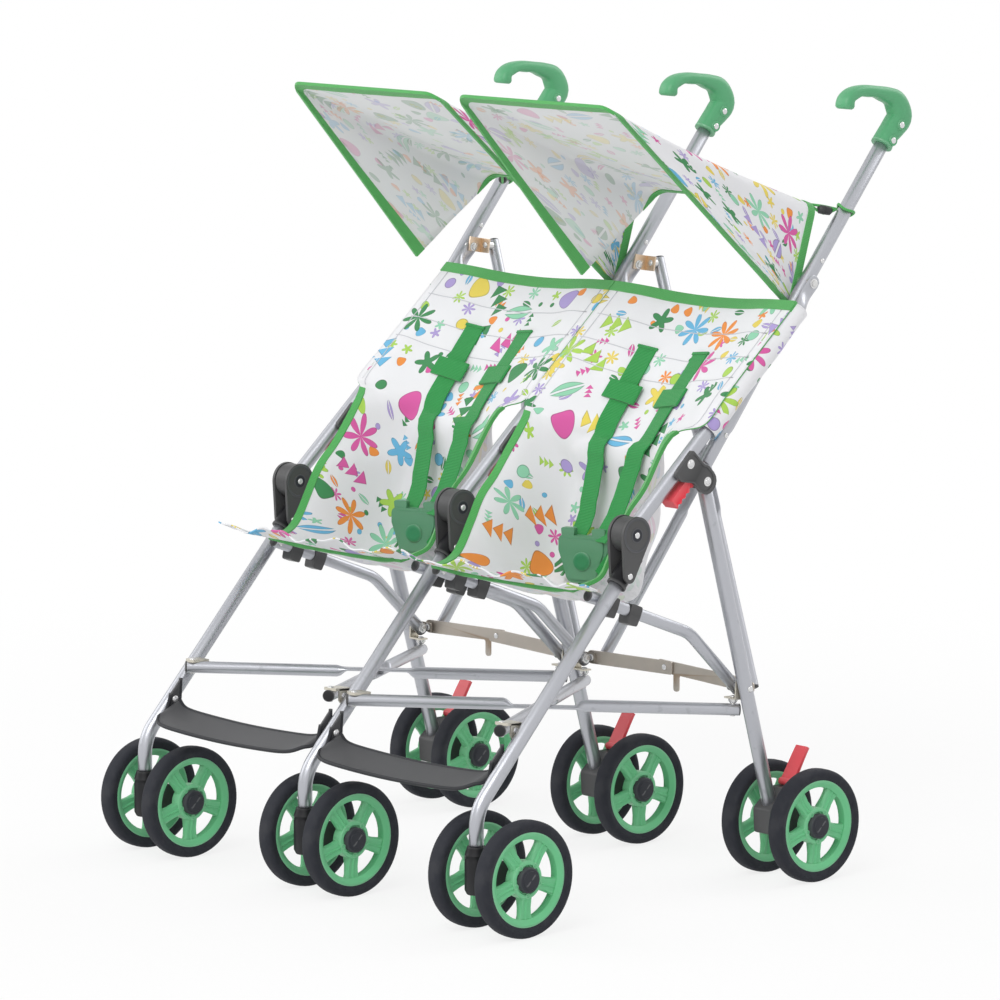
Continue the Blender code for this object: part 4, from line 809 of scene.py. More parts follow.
class Form:
    """A mesh in the making, from closed bodies and sheets that share a finish."""

    def __init__(self) -> None:
        """Start with nothing."""
        self.mesh = bmesh.new()
        self.flat = self.mesh.loops.layers.uv.new("flat")

    def loft(self, rings: Sequence[Ring], looped: bool = False) -> Form:
        """Add a body through rings of points.

        Args:
            rings: Rings with the same number of points.
            looped: Whether the last ring meets the first.

        Returns:
            The form.
        """
        rows = [[self.mesh.verts.new(point) for point in points] for points in rings]
        pairs = list(zip(rows, rows[1:])) + ([(rows[-1], rows[0])] if looped else [])
        count = len(rows[0])
        lengths = [0.0]
        for first, second in pairs:
            lengths.append(lengths[-1] + (second[0].co - first[0].co).length)
        around = [0.0]
        for index in range(count):
            around.append(around[-1] + (rows[0][(index + 1) % count].co - rows[0][index].co).length)
        for number, (first, second) in enumerate(pairs):
            for index in range(count):
                following = (index + 1) % count
                face = self.mesh.faces.new((first[index], first[following], second[following], second[index]))
                places = ((lengths[number], around[index]), (lengths[number], around[index + 1]),
                          (lengths[number + 1], around[index + 1]), (lengths[number + 1], around[index]))
                for loop, spot in zip(face.loops, places):
                    loop[self.flat].uv = spot
        if not looped:
            for row in (rows[0], rows[-1]):
                face = self.mesh.faces.new(row)
                for loop in face.loops:
                    loop[self.flat].uv = (loop.vert.co.x, loop.vert.co.z)
        return self

    def sweep(self, stations: Sequence[tuple[Vector, float, float]], side: Vector, sides: int = 24) -> Form:
        """Add a rod through stations.

        Args:
            stations: Point, half width along side, and half height across it.
            side: Direction of the widths.
            sides: Points of each ring.

        Returns:
            The form.
        """
        points = [station[0] for station in stations]
        rings = []
        for index, (point, wide, high) in enumerate(stations):
            tangent = (points[min(index + 1, len(points) - 1)] - points[max(index - 1, 0)]).normalized()
            first = (side - tangent * side.dot(tangent)).normalized()
            rings.append(ring(point, first, tangent.cross(first), wide, high, sides))
        return self.loft(rings)

    def tube(self, points: Sequence[Vector], radius: float, side: Vector = X, sides: int = 24) -> Form:
        """Add a round tube, its ends slightly drawn in.

        Args:
            points: Points on its axis.
            radius: Its radius.
            side: A direction that its axis never takes.
            sides: Points of each ring.

        Returns:
            The form.
        """
        start, end = points[0], points[-1]
        inward = (points[1] - start).normalized() * radius * 0.12
        outward = (points[-2] - end).normalized() * radius * 0.12
        path = [start, start + inward, *points[1:-1], end + outward, end]
        radii = [radius * 0.88] + [radius] * (len(path) - 2) + [radius * 0.88]
        return self.sweep([(point, size, size) for point, size in zip(path, radii)], side, sides)

    def turned(self, profile: Sequence[tuple[float, float]], base: Vector, axis: Vector, sides: int = 24,
               looped: bool = False) -> Form:
        """Add a solid or ring of revolution.

        Args:
            profile: Radius and height of each ring.
            base: Where the height is 0.
            axis: Direction of the heights.
            sides: Points of each ring.
            looped: Whether the last ring meets the first.

        Returns:
            The form.
        """
        first, second = square_to(axis)
        rings = [ring(base + axis * height, first, second, radius, radius, sides) for radius, height in profile]
        return self.loft(rings, looped)

    def pin(self, base: Vector, axis: Vector, start: float, end: float, radius: float) -> Form:
        """Add a plain pin between two heights over base."""
        return self.turned(((radius, start), (radius, end)), base, axis, 20)

    def plate(self, outline: Iterable[Sequence[float]], origin: Vector, first: Vector, second: Vector,
              depth: Vector) -> Form:
        """Add a plate: an outline in the plane of two directions, pushed along depth."""
        points = [origin + first * a + second * b for a, b in outline]
        return self.loft([points, [point + depth for point in points]])

    def panelled(self, outline: Sequence[Vector], x: float, half: float, share: float) -> Form:
        """Add an upright side plate with a raised panel on each face.

        Args:
            outline: The plate's outline in the side view.
            x: The x of its middle.
            half: Half its thickness.
            share: The panels' share of its size.

        Returns:
            The form.
        """
        self.plate(outline, X * (x - half), Y, Z, X * 2 * half)
        for side in BOTH:
            self.plate(shrunk(outline, share), X * (x + side * (half - 0.001)), Y, Z, X * side * 0.0022)
        return self

    def box(self, low: Sequence[float], high: Sequence[float]) -> Form:
        """Add an upright box between two corners."""
        outline = ((low[0], low[1]), (high[0], low[1]), (high[0], high[1]), (low[0], high[1]))
        return self.plate(outline, Z * low[2], X, Y, Z * (high[2] - low[2]))

    def strip(self, stations: Sequence[tuple[Vector, Vector]], thickness: float) -> Form:
        """Add a flat band with soft edges.

        Args:
            stations: Middle and half-width vector along the band.
            thickness: How thick it is.

        Returns:
            The form.
        """
        rings = []
        for index, (point, half) in enumerate(stations):
            before = stations[max(index - 1, 0)][0]
            after = stations[min(index + 1, len(stations) - 1)][0]
            lift = (after - before).cross(half).normalized() * thickness / 2
            rings.append([point - half * 0.96 - lift, point + half * 0.96 - lift, point + half,
                          point + half * 0.96 + lift, point - half * 0.96 + lift, point - half])
        return self.loft(rings)

    def dome(self, base: Vector, axis: Vector, radius: float = 0.0042, height: float = 0.0018) -> Form:
        """Add a domed rivet head on a surface at base."""
        return self.turned(((radius, -0.0008), (radius, height * 0.2), (radius * 0.90, height * 0.55),
                            (radius * 0.62, height * 0.86), (radius * 0.25, height)), base, axis, 16)

    def hex_head(self, base: Vector, axis: Vector, radius: float = 0.006) -> Form:
        """Add a washer with a six-sided bolt head on it.

        Args:
            base: Where the washer lies.
            axis: The bolt's axis.
            radius: Radius of the washer's top.

        Returns:
            The form.
        """
        height = 0.0032
        self.turned(((radius * 1.1, -0.0006), (radius * 1.1, height * 0.25), (radius, height * 0.3)), base, axis)
        head = ((radius * 0.82, 0.0), (radius * 0.82, height), (radius * 0.6, height * 1.2))
        return self.turned(head, base, axis, 6)

    def sheet(self, rows: Sequence[Ring], origin: Sequence[float] = (0.0, 0.0)) -> Form:
        """Add an open sheet through rows of points, with its flat place worked out from its own lengths.

        Args:
            rows: Rows with the same number of points.
            origin: Where the sheet starts on the print.

        Returns:
            The form.
        """
        grid = [[self.mesh.verts.new(point) for point in row] for row in rows]
        middle = len(rows[0]) // 2
        down = [origin[1]]
        for before, after in zip(rows, rows[1:]):
            down.append(down[-1] + (after[middle] - before[middle]).length)
        over: list[list[float]] = []
        for row in rows:
            lengths = [0.0]
            for before, after in zip(row, row[1:]):
                lengths.append(lengths[-1] + (after - before).length)
            over.append([origin[0] + length - lengths[middle] for length in lengths])
        for i in range(len(rows) - 1):
            for j in range(len(rows[0]) - 1):
                corners = ((i, j), (i, j + 1), (i + 1, j + 1), (i + 1, j))
                face = self.mesh.faces.new([grid[a][b] for a, b in corners])
                for loop, (a, b) in zip(face.loops, corners):
                    loop[self.flat].uv = (over[a][b], down[a])
        return self

    def measures(self, rows: Sequence[Ring], stride: int) -> tuple[float, float, float]:
        """Size of the sheet if it were laid flat.

        Args:
            rows: The rows that the sheet was made from.
            stride: How many columns lie between two that are measured.

        Returns:
            Its greatest width, its greatest length and its area.
        """
        width = max(sum((b - a).length for a, b in zip(row, row[1:])) for row in rows)
        length = max(sum((b[j] - a[j]).length for a, b in zip(rows, rows[1:]))
                     for j in range(0, len(rows[0]), stride))
        return width, length, sum(face.calc_area() for face in self.mesh.faces)

    def bevel(self, width: float) -> Form:
        """Round the sharp edges.

        Args:
            width: How wide the rounding is; 0 for none.

        Returns:
            The form.
        """
        if width <= 0:
            return self
        limit = math.radians(35.0)
        sharp = [edge for edge in self.mesh.edges
                 if len(edge.link_faces) == 2 and edge.calc_face_angle(0.0) > limit]
        bmesh.ops.bevel(self.mesh, geom=sharp, offset=width, segments=2, profile=0.6, affect="EDGES",
                        clamp_overlap=True)
        return self

    def data(self, name: str, finish: Finish, sharp: float = 45.0) -> bpy.types.Mesh:
        """Close the form as a mesh.

        Args:
            name: The mesh's name.
            finish: What its surface is made of.
            sharp: Edges steeper than this stay sharp, in degrees.

        Returns:
            The mesh.
        """
        bmesh.ops.recalc_face_normals(self.mesh, faces=self.mesh.faces)
        mesh = bpy.data.meshes.new(name)
        self.mesh.to_mesh(mesh)
        self.mesh.free()
        mesh.materials.append(finish.material())
        mesh.shade_smooth()
        mesh.set_sharp_from_angle(angle=math.radians(sharp))
        return mesh


@dataclass
class SubAssembly:
    """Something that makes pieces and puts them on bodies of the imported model."""

    made: list[bpy.types.Object] = field(default_factory=list, init=False)

    def piece(self, name: str, form: Form, finish: Finish, body: str, *nodes: str,
              bevel: float = 0.0) -> bpy.types.Object:
        """Place a piece on a body.

        Args:
            name: The piece's name.
            form: Its shape.
            finish: What it is made of.
            body: The body that it rides on.
            nodes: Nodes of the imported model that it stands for.
            bevel: Width of its rounded edges.

        Returns:
            The piece.
        """
        return self.hang(name, form.bevel(bevel).data(name, finish), finish, body, nodes)

    def hang(self, name: str, mesh: bpy.types.Mesh, finish: Finish, body: str, nodes: Sequence[str],
             centre: Vector = ORIGIN) -> bpy.types.Object:
        """Place a finished mesh on a body.

        Args:
            name: The piece's name.
            mesh: Its mesh, about the centre.
            finish: What it is made of.
            body: The body that it rides on.
            nodes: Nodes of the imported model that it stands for.
            centre: Where the mesh goes.

        Returns:
            The piece.
        """
        made = bpy.data.objects.new(name, mesh)
        made.location = centre
        bpy.context.scene.collection.objects.link(made)
        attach(made, body)
        if nodes:
            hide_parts(*nodes)
        self.made.append(made)
        LOG.info("%s: %d faces on %s", name, len(mesh.polygons), body)
        return made

    def build(self) -> None:
        """Make every piece of the sub-assembly."""
        raise NotImplementedError


@dataclass
class FramePart(SubAssembly):
    """A sub-assembly of one side frame."""

    BODY: ClassVar[str] = "upper"
    NODE: ClassVar[str] = ""

    frame: Frame = Frame.MIDDLE

    @property
    def label(self) -> str:
        """The frame's word."""
        return self.frame.label

    @property
    def x(self) -> float:
        """The frame's x."""
        return LAY.frame_x(self.frame)

    def add(self, word: str, form: Form, finish: Finish, tail: str = "", bevel: float = 0.0) -> None:
        """Place a piece that stands for the sub-assembly's own node.

        Args:
            word: What the piece is; the frame's word follows it in the name.
            form: Its shape.
            finish: What it is made of.
            tail: The name's last part.
            bevel: Width of its rounded edges.
        """
        self.piece(f"{word}_{self.label}{tail}", form, finish, f"{self.BODY}_{self.label}",
                   f"{self.NODE}_{self.label}", bevel=bevel)


@dataclass
class SeatPart(SubAssembly):
    """A sub-assembly of one seat, between the middle frame and an outer one."""

    side: Side = Side.RIGHT

    @property
    def label(self) -> str:
        """The seat's word."""
        return self.side.label

    @property
    def sign(self) -> float:
        """The direction along x in which the seat lies."""
        return self.side.value

    @property
    def outer_frame(self) -> Frame:
        """The seat's outer frame."""
        return Frame(int(self.sign))

    def add(self, word: str, form: Form, finish: Finish, body: str, *nodes: str,
            bevel: float = 0.0) -> bpy.types.Object:
        """Place a piece whose name ends in the seat's word."""
        return self.piece(f"{word}_{self.label}", form, finish, body, *nodes, bevel=bevel)


@dataclass
class Layout:
    """Sizes and side-view points that several sub-assemblies share."""

    spacing: float = 0.336
    tube: float = 0.0095
    bar: float = 0.008
    gap: float = 0.0003
    open_gap: float = 0.0007
    joint: float = 0.0012
    strap_thick: float = 0.0022
    strap_half: float = 0.0075
    spacer: float = 0.0065
    wheel: float = 0.075
    pair: float = 0.088
    rim_width: float = 0.018
    lean: float = 0.022
    rail_offset: float = 0.0210
    scissor: float = 0.024
    brace: float = 0.027
    brace_wing: float = 0.0163
    brace_spacer: float = 0.0062
    axle: float = 0.004
    hub_half: float = 0.0105
    collar_z: float = 0.115
    bend: float = 0.060
    knuckle_arm: float = 0.1311
    knuckle_slope: float = 26.74
    handle_slope: float = 51.1
    handle_length: float = 0.5298
    bolt_reach: float = 0.3095
    leg_slope: float = 74.4
    leg_offset: float = 0.0112
    rail_reach: float = 0.2960
    rear_axle_y: float = 0.1865
    trail: float = 0.040
    front_slope: float = 47.7
    front_reach: float = 0.1108
    scissor_hang: float = 0.0313
    scissor_offset: float = 0.0151
    canopy_reach: float = 0.027
    knuckle: Vector = field(default_factory=lambda: Vector((-0.1042, 0.4836)))
    rail_front: Vector = field(default_factory=lambda: Vector((-0.1482, 0.4048)))
    rail_bend: Vector = field(default_factory=lambda: Vector((0.0215, 0.3400)))
    front_bend: Vector = field(default_factory=lambda: Vector((-0.3635, 0.1596)))

    def __post_init__(self) -> None:
        """Work out the points that follow from the sizes."""
        self.leg_pivot = self.knuckle + self.knuckle_arm * heading(self.knuckle_slope)
        self.handle_way = heading(self.handle_slope)
        self.handle_top = self.leg_pivot + self.handle_length * self.handle_way
        self.brace_bolt = self.leg_pivot + self.bolt_reach * self.handle_way
        self.back_way = (self.brace_bolt - self.knuckle).normalized()
        self.back_length = (self.brace_bolt - self.knuckle).length
        self.leg_way = heading(-self.leg_slope)
        self.leg_top = self.leg_pivot - self.leg_offset * across(self.leg_way)
        self.rail_bolt = self.leg_top + self.rail_reach * self.leg_way
        self.axle_height = self.wheel * math.cos(math.pi / 24)
        self.rear_axle = Vector((self.rear_axle_y, self.axle_height))
        self.front_axle = Vector((self.front_bend[0] + self.trail, self.axle_height))
        self.front_way = heading(self.front_slope)
        front_bolt = self.front_bend + self.front_reach * self.front_way
        self.scissor_rear = self.rail_bolt - Vector((0.0, self.scissor_hang))
        self.scissor_front = front_bolt - self.scissor_offset * across(self.front_way)
        self.brace_top = self.brace_bolt + Vector((0.0304, -0.0009))
        self.brace_foot = self.rail_bolt + Vector((0.0370, 0.0018))
        self.canopy_pivot = self.brace_bolt - self.canopy_reach * self.back_way

    def leaning(self, reach: float) -> float:
        """How far the seat-back tube stands to +X of its frame, at a distance from the knuckle."""
        return self.lean * reach / self.back_length

    def back_point(self, x: float, reach: float) -> Vector:
        """A point on the axis of a seat-back tube."""
        return at(x + self.leaning(reach), self.knuckle + reach * self.back_way)

    def frame_x(self, frame: Frame) -> float:
        """The x of a side frame."""
        return frame.value * self.spacing

    def scissor_ways(self) -> tuple[Vector, Vector]:
        """Forward along the scissor plane, and its upward normal, in the side view."""
        forward = (self.scissor_front - self.scissor_rear).normalized()
        return forward, Vector((forward[1], -forward[0]))

    def brace_ways(self) -> tuple[Vector, Vector]:
        """Down along the brace plane, and its rearward normal, in the side view."""
        down = (self.brace_foot - self.brace_top).normalized()
        return down, Vector((-down[1], down[0]))

    def axle_pin(self, x: float, place: Vector) -> Form:
        """The pin that carries a pair of wheels."""
        length = self.pair / 2 + self.rim_width / 2 - self.gap
        return Form().pin(at(x, place), X, -length, length, self.axle)


LAY = Layout()
SEAT_BODY = "upper_middle"


# Side frames

@dataclass
class BackFrame(FramePart):
    """Handle tube and seat-back tube of one side frame, with the hub of its knuckle."""

    NODE: ClassVar[str] = "back_frame"

    tube_start: float = 0.0235
    hub: float = 0.0228
    hub_edge: float = 0.0012
    rivets: tuple[float, ...] = (0.070, 0.345)
    paddle_offset: float = 0.0145
    paddle_half: float = 0.010
    paddle_length: float = 0.022
    paddle_thick: float = 0.003

    def build(self) -> None:
        """Make the tubes, the hub, and the bolts at their top."""
        start = at(self.x, LAY.leg_pivot + self.tube_start * LAY.handle_way)
        self.add("handle_tube", Form().tube([start, at(self.x, LAY.handle_top)], LAY.tube), TUBE)
        self.add("seat_back_tube", self._seat_back(), TUBE)
        half, edge = LAY.hub_half, self.hub_edge
        hub = Form().turned(((self.hub * 0.93, -half), (self.hub, -half + edge), (self.hub, half - edge),
                             (self.hub * 0.93, half)), at(self.x, LAY.knuckle), X, 40)
        self.add("knuckle_hub", hub, BLACK)
        bolt = at(self.x, LAY.brace_bolt)
        root = LAY.tube - 2 * LAY.joint
        spacer = Form().pin(bolt, X, root, self.paddle_offset, LAY.spacer)
        if -1.0 in self.frame.inner_sides:
            spacer.pin(bolt, -X, root, LAY.brace_wing - LAY.gap, LAY.spacer)
        if 1.0 not in self.frame.inner_sides:
            spacer.hex_head(at(self.x + self.paddle_offset + self.paddle_thick / 2, LAY.brace_bolt), X)
        self.add("top_spacer", spacer, FASTENER, bevel=0.0003)
        heads = Form()
        for reach in self.rivets:
            heads.dome(at(self.x, LAY.leg_pivot + reach * LAY.handle_way) + X * LAY.tube, X, 0.0034, 0.0014)
        self.add("tube_rivets", heads, FASTENER)

    def _seat_back(self) -> Form:
        """The seat-back tube, pressed flat where it passes the handle tube.

        Returns:
            The tube's form.
        """
        flat, round_ = self.paddle_thick / 2, LAY.tube
        begin = LAY.back_length - 2 * self.paddle_length
        eye = at(self.x + self.paddle_offset, LAY.brace_bolt - self.paddle_length * 0.75 * LAY.back_way)
        tip = at(self.x + self.paddle_offset, LAY.brace_bolt + self.paddle_half * LAY.back_way)
        stations = [(LAY.back_point(self.x, reach), round_, round_) for reach in (self.hub * 0.6, begin * 0.5, begin)]
        for share in (0.25, 0.5, 0.75):
            point = LAY.back_point(self.x, begin).lerp(eye, share)
            stations.append((point, round_ + (flat - round_) * eased(share),
                             round_ + (self.paddle_half - round_) * eased(share)))
        stations += [(eye.lerp(tip, share), flat, self.paddle_half * width)
                     for share, width in ((0.0, 1.0), (0.7, 1.0), (0.93, 0.8), (1.0, 0.4))]
        return Form().sweep(stations, X)


@dataclass
class Grip(FramePart):
    """Umbrella-hook grip with its collar, bosses and finger scallops."""

    NODE: ClassVar[str] = "grip"

    half: float = 0.013
    collar: float = 0.0135
    boss: float = 0.0074
    boss_reaches: tuple[float, ...] = (0.011, 0.036)

    def build(self) -> None:
        """Make the hook, its collar lip, its bosses and its rivets."""
        top, up = LAY.handle_top, LAY.handle_way
        self.add("hook", self._hook(), HANDLE)
        lip = Form().turned(((0.0100, 0.0), (self.collar + 0.0012, 0.0002), (self.collar + 0.0016, 0.0022),
                             (self.collar + 0.0004, 0.0036)), at(self.x, top + LAY.gap * up), side_axis(up), 32)
        self.add("hook_collar", lip, HANDLE)
        bosses, rivets = Form(), Form()
        for side in BOTH:
            for reach in self.boss_reaches:
                centre = at(self.x + side * self.half, top + reach * up + 0.003 * across(up))
                bosses.turned(((self.boss, -0.004), (self.boss, 0.0004), (0.0068, 0.0012), (0.0055, 0.0012)),
                              centre, X * side)
                rivets.dome(centre + X * side * 0.0009, X * side, 0.0044, 0.0016)
        self.add("hook_bosses", bosses, HANDLE, bevel=0.0002)
        self.add("hook_rivets", rivets, FASTENER)

    def _hook(self) -> Form:
        """The hook itself, scalloped inside its bend.

        Returns:
            The hook's form.
        """
        top, up = LAY.handle_top, LAY.handle_way
        rear = across(up)
        spine = (
            (top + LAY.gap * up, self.collar, self.collar), (top + 0.014 * up, 0.0135, self.half),
            (top + 0.034 * up + 0.003 * rear, 0.0165, self.half),
            (top + 0.050 * up + 0.003 * rear, 0.0175, self.half),
            (top + Vector((0.0250, 0.0565)), 0.0150, self.half),
            (top + Vector((0.0085, 0.0655)), 0.0110, self.half * 0.92),
            (top + Vector((-0.0120, 0.0705)), 0.0085, self.half * 0.88),
            (top + Vector((-0.0340, 0.0730)), 0.0080, self.half * 0.88),
            (top + Vector((-0.0540, 0.0705)), 0.0085, self.half * 0.92),
            (top + Vector((-0.0655, 0.0625)), 0.0095, self.half), (top + Vector((-0.0680, 0.0510)), 0.0105, self.half))
        path = smooth_path([Vector((point[0], point[1], high)) for point, high, _ in spine], 5)
        widths = smooth_path([Vector((wide, 0.0, 0.0)) for _, _, wide in spine], 5)
        rings = []
        for index, (spot, wide) in enumerate(zip(path, widths)):
            after, before = path[min(index + 1, len(path) - 1)], path[max(index - 1, 0)]
            tangent = side_axis(Vector((after[0] - before[0], after[1] - before[1])).normalized())
            out = X.cross(tangent)
            share = index / (len(path) - 1)
            finger = 0.5 - 0.5 * math.cos(2 * math.pi * (share - 0.40) / 0.135)
            groove = 0.0014 * finger if 0.40 < share < 0.94 else 0.0
            tip = 0.72 if index == len(path) - 1 else 0.92 if index == len(path) - 2 else 1.0
            centre = Vector((self.x, spot[0], spot[1]))
            points = []
            for number in range(28):
                turn = 2 * math.pi * (number + 0.5) / 28
                c, s = math.cos(turn), math.sin(turn)
                flat_c, flat_s = math.copysign(abs(c) ** 0.75, c), math.copysign(abs(s) ** 0.75, s)
                high = spot[2] - (groove if s > 0 else 0.0)
                points.append(centre + X * wide[0] * flat_c * tip + out * high * flat_s * tip)
            rings.append(points)
        return Form().loft(rings)


@dataclass
class FoldLatch(FramePart):
    """Black boot-shaped bracket and the red latch beside it."""

    NODE: ClassVar[str] = "fold_bracket"

    offset: float = 0.0167
    thick: float = 0.0055
    rim_rise: float = 0.0014
    rim_share: float = 0.84
    boss: float = 0.0096
    washer: float = 0.0062
    reach: float = 0.1215
    length: float = 0.046
    heel: float = 0.008
    drop: float = 0.020
    setback: float = 0.014
    high: float = 0.014
    far_face: float = 0.007
    knobs: int = 5
    knob_rise: float = 0.0015

    def build(self) -> None:
        """Make the bracket with its raised rim, its rivets and the knobbed latch."""
        rivet = LAY.knuckle + self.reach * LAY.back_way
        along, down = side_axis(LAY.back_way), side_axis(across(LAY.back_way))
        outline = rounded((
            (-0.027, -0.011, 0.004), (0.015, -0.011, 0.004), (0.0155, 0.018, 0.006), (0.0195, 0.026, 0.006),
            (0.0195, 0.054, 0.0155), (-0.0135, 0.054, 0.0155), (-0.0135, 0.022, 0.008), (-0.027, 0.004, 0.005)))
        base = at(self.x + self.offset, rivet)
        plate = Form().plate(outline, base, along, down, X * (self.thick - 0.001))
        self.add("bracket_plate", plate, BLACK, bevel=0.0006)
        face, rise = base + X * (self.thick - self.rim_rise), self.rim_rise
        rings = []
        for outer, inner in zip(outline, shrunk(outline, self.rim_share)):
            rings.append([face + along * point[0] + down * point[1] + X * lift
                          for point, lift in ((outer, 0.0), (outer, rise), (inner, rise), (inner, 0.0))])
        self.add("bracket_rim", Form().loft(rings, looped=True), BLACK, bevel=0.0003)
        boss = Form().pin(at(self.x, LAY.leg_pivot), X, LAY.tube + LAY.gap, self.offset + 0.001, self.boss)
        self.add("bracket_boss", boss, BLACK, bevel=0.0004)
        rivets = Form()
        face_x = self.x + self.offset + self.thick
        for point in (rivet, LAY.leg_pivot):
            rivets.turned(((self.washer, -0.001), (self.washer, 0.0007), (0.0050, 0.0010)),
                          at(face_x - 0.001, point), X)
            rivets.dome(at(face_x - 0.0005, point), X)
        self.add("bracket_rivets", rivets, FASTENER)
        self._latch()

    def _latch(self) -> None:
        """Make the red latch."""
        body = f"latch_{self.label}"
        pivot = LAY.knuckle + (self.reach - self.setback) * LAY.back_way + self.drop * across(LAY.back_way)
        face = at(self.x - self.far_face, pivot)
        corners = []
        for index in range(self.knobs * 8):
            share = index / (self.knobs * 8 - 1)
            high = self.high / 2 + self.knob_rise * math.cos(2 * math.pi * self.knobs * share)
            corners.append((self.heel - self.length * share, high, 0.0))
        corners += [(self.heel - self.length, -self.high / 2, 0.003), (self.heel, -self.high / 2, 0.003)]
        form = Form().plate(rounded(corners), face, side_axis(LAY.back_way), side_axis(across(LAY.back_way)),
                            X * (self.far_face + self.offset - LAY.gap))
        self.piece(f"latch_lever_{self.label}", form, RED, body, body, bevel=0.0007)
        self.piece(f"latch_pin_{self.label}", Form().dome(face, -X, 0.0046, 0.0018), FASTENER, body)


@dataclass
class RearLeg(FramePart):
    """Rear leg with its seat rails, tab plate, hanging straps, brake housing and axle."""

    BODY: ClassVar[str] = "rear_leg"
    NODE: ClassVar[str] = "rear_leg"

    fitting: float = 0.012
    overhang: float = 0.008
    bolt: float = 0.0035
    tab_half: float = 0.00625
    tab_thick: float = 0.0022
    tab_corner: float = 0.003
    tab_stub: float = 0.004
    lock_thick: float = 0.0022
    eye: float = 0.0105
    housing_half: float = 0.016
    panel_share: float = 0.72
    pivot_rise: float = 0.052
    pivot_radius: float = 0.005
    pedal_slope: float = 54.0
    pedal_length: float = 0.052
    pedal_half: float = 0.012
    pedal_thick: float = 0.005
    tread_half: float = 0.009
    tread: float = 0.0007

    def build(self) -> None:
        """Make the leg's tube and everything that it carries."""
        reach = (LAY.leg_top[1] - LAY.rear_axle[1] - 0.012) / -LAY.leg_way[1]
        foot = LAY.leg_top + reach * LAY.leg_way
        leg = Form().tube([at(self.x, LAY.leg_top + 0.004 * LAY.leg_way), at(self.x, foot)], LAY.tube)
        self.add("leg_tube", leg, TUBE)
        outline = rounded(((-self.fitting, -0.006, 0.0), (-self.fitting, self.fitting, 0.011),
                           (0.0112, self.fitting * 0.8, 0.0), (0.0112, -0.014, 0.0)))
        end = Form().plate(outline, at(self.x - LAY.tube, LAY.leg_pivot), side_axis(-across(LAY.leg_way)),
                           -side_axis(LAY.leg_way), X * 2 * LAY.tube)
        self.add("leg_fitting", end, BLACK, bevel=0.0008)
        self._rails()
        self._tab()
        self._housing(foot[0])
        self._pedal()

    def layers(self) -> tuple[float, float, float, float]:
        """Where the layers behind the leg begin.

        Returns:
            The y of the tab plate's front, the two lock layers' fronts, and the rear stop.
        """
        tab = LAY.rail_bolt[0] + LAY.tube / math.sin(math.radians(LAY.leg_slope)) + LAY.gap
        first = tab + self.tab_thick + LAY.gap
        second = first + self.lock_thick + LAY.gap
        return tab, first, second, second + self.lock_thick + LAY.gap

    def _rails(self) -> None:
        """Make the bent seat rails, their bolts, and the straps that hang from them."""
        end = LAY.rail_bolt + (LAY.rail_bolt - LAY.rail_bend).normalized() * self.overhang
        start = LAY.rail_front + (LAY.rail_front - LAY.rail_bend).normalized() * self.overhang
        path = bent([start, LAY.rail_bend, end], LAY.bend, 10)
        strap_face = LAY.tube + 2 * LAY.gap + LAY.strap_thick
        fasteners = Form()
        for side in self.frame.inner_sides:
            tail = "_in" if side < 0 else "_out"
            rail_x = self.x + side * LAY.rail_offset
            self.add("seat_rail", Form().tube([at(rail_x, point) for point in path], LAY.bar), TUBE, tail)
            plugs = Form()
            for place, way in ((start, start - path[1]), (end, end - path[-2])):
                plugs.turned(((LAY.bar * 0.9, -0.003), (LAY.bar * 0.95, 0.0006), (LAY.bar * 0.7, 0.0016)),
                             at(rail_x, place), side_axis(way.normalized()), 20)
            self.add("rail_plugs", plugs, BLACK, tail)
            fasteners.turned(((self.bolt, LAY.tube - 2 * LAY.joint), (self.bolt, strap_face),
                              (LAY.spacer, strap_face), (LAY.spacer, LAY.rail_offset - LAY.bar + LAY.joint)),
                             at(self.x, LAY.rail_bolt), X * side, 20)
            rail_face = rail_x + side * LAY.bar * 0.95
            fasteners.hex_head(at(rail_face, LAY.rail_bolt), X * side)
            fasteners.dome(at(rail_face, LAY.rail_front), X * side)
            if self.frame is not Frame.MIDDLE:
                strap, head = hanging_strap(self.x, side)
                self.add("hanging_strap", strap, ZINC, bevel=0.0004)
                self.add("hanging_rivet", head, FASTENER)
        for side in BOTH:
            if side not in self.frame.inner_sides:
                fasteners.dome(at(self.x + side * LAY.tube * 0.97, LAY.rail_bolt), X * side)
        self.add("rail_bolts", fasteners, FASTENER, bevel=0.0002)

    def _tab(self) -> None:
        """Make the plate behind the leg that carries the lock bars and braces."""
        tab, _, _, stop = self.layers()
        back = tab + self.tab_thick
        x, z = self.x, LAY.rail_bolt[1]
        left, right = (LAY.brace + self.eye * 0.7 if side in self.frame.inner_sides else self.tab_stub
                       for side in BOTH)
        high, corner = self.tab_half, self.tab_corner
        outline = rounded(((-left, -high, corner), (right, -high, corner), (right, high, corner),
                           (-left, high, corner)))
        plate = Form().plate(outline, Vector((x, tab, z)), X, Z, Y * self.tab_thick)
        plate.box((x - 0.0035, LAY.rail_bolt[0], z - 0.0045), (x + 0.0035, back - 0.001, z + 0.0045))
        self.add("tab_plate", plate, BRONZE, bevel=0.0003)
        down = (LAY.brace_top - LAY.brace_foot).normalized()
        front = LAY.brace_foot[0] - LAY.bar / down[1]
        shanks = Form()
        for side in self.frame.inner_sides:
            shank = Vector((x + side * LAY.brace, back, z))
            length = front - LAY.open_gap - shank.y
            shoulder = stop - shank.y
            shanks.turned(((self.bolt, -LAY.joint), (self.bolt, shoulder), (LAY.spacer, shoulder),
                           (LAY.spacer, length - 0.002), (0.004, length)), shank, Y, 20)
            shanks.dome(Vector((shank.x, tab, z)), -Y, 0.0048, 0.0018)
        self.add("lock_shanks", shanks, FASTENER, bevel=0.0002)

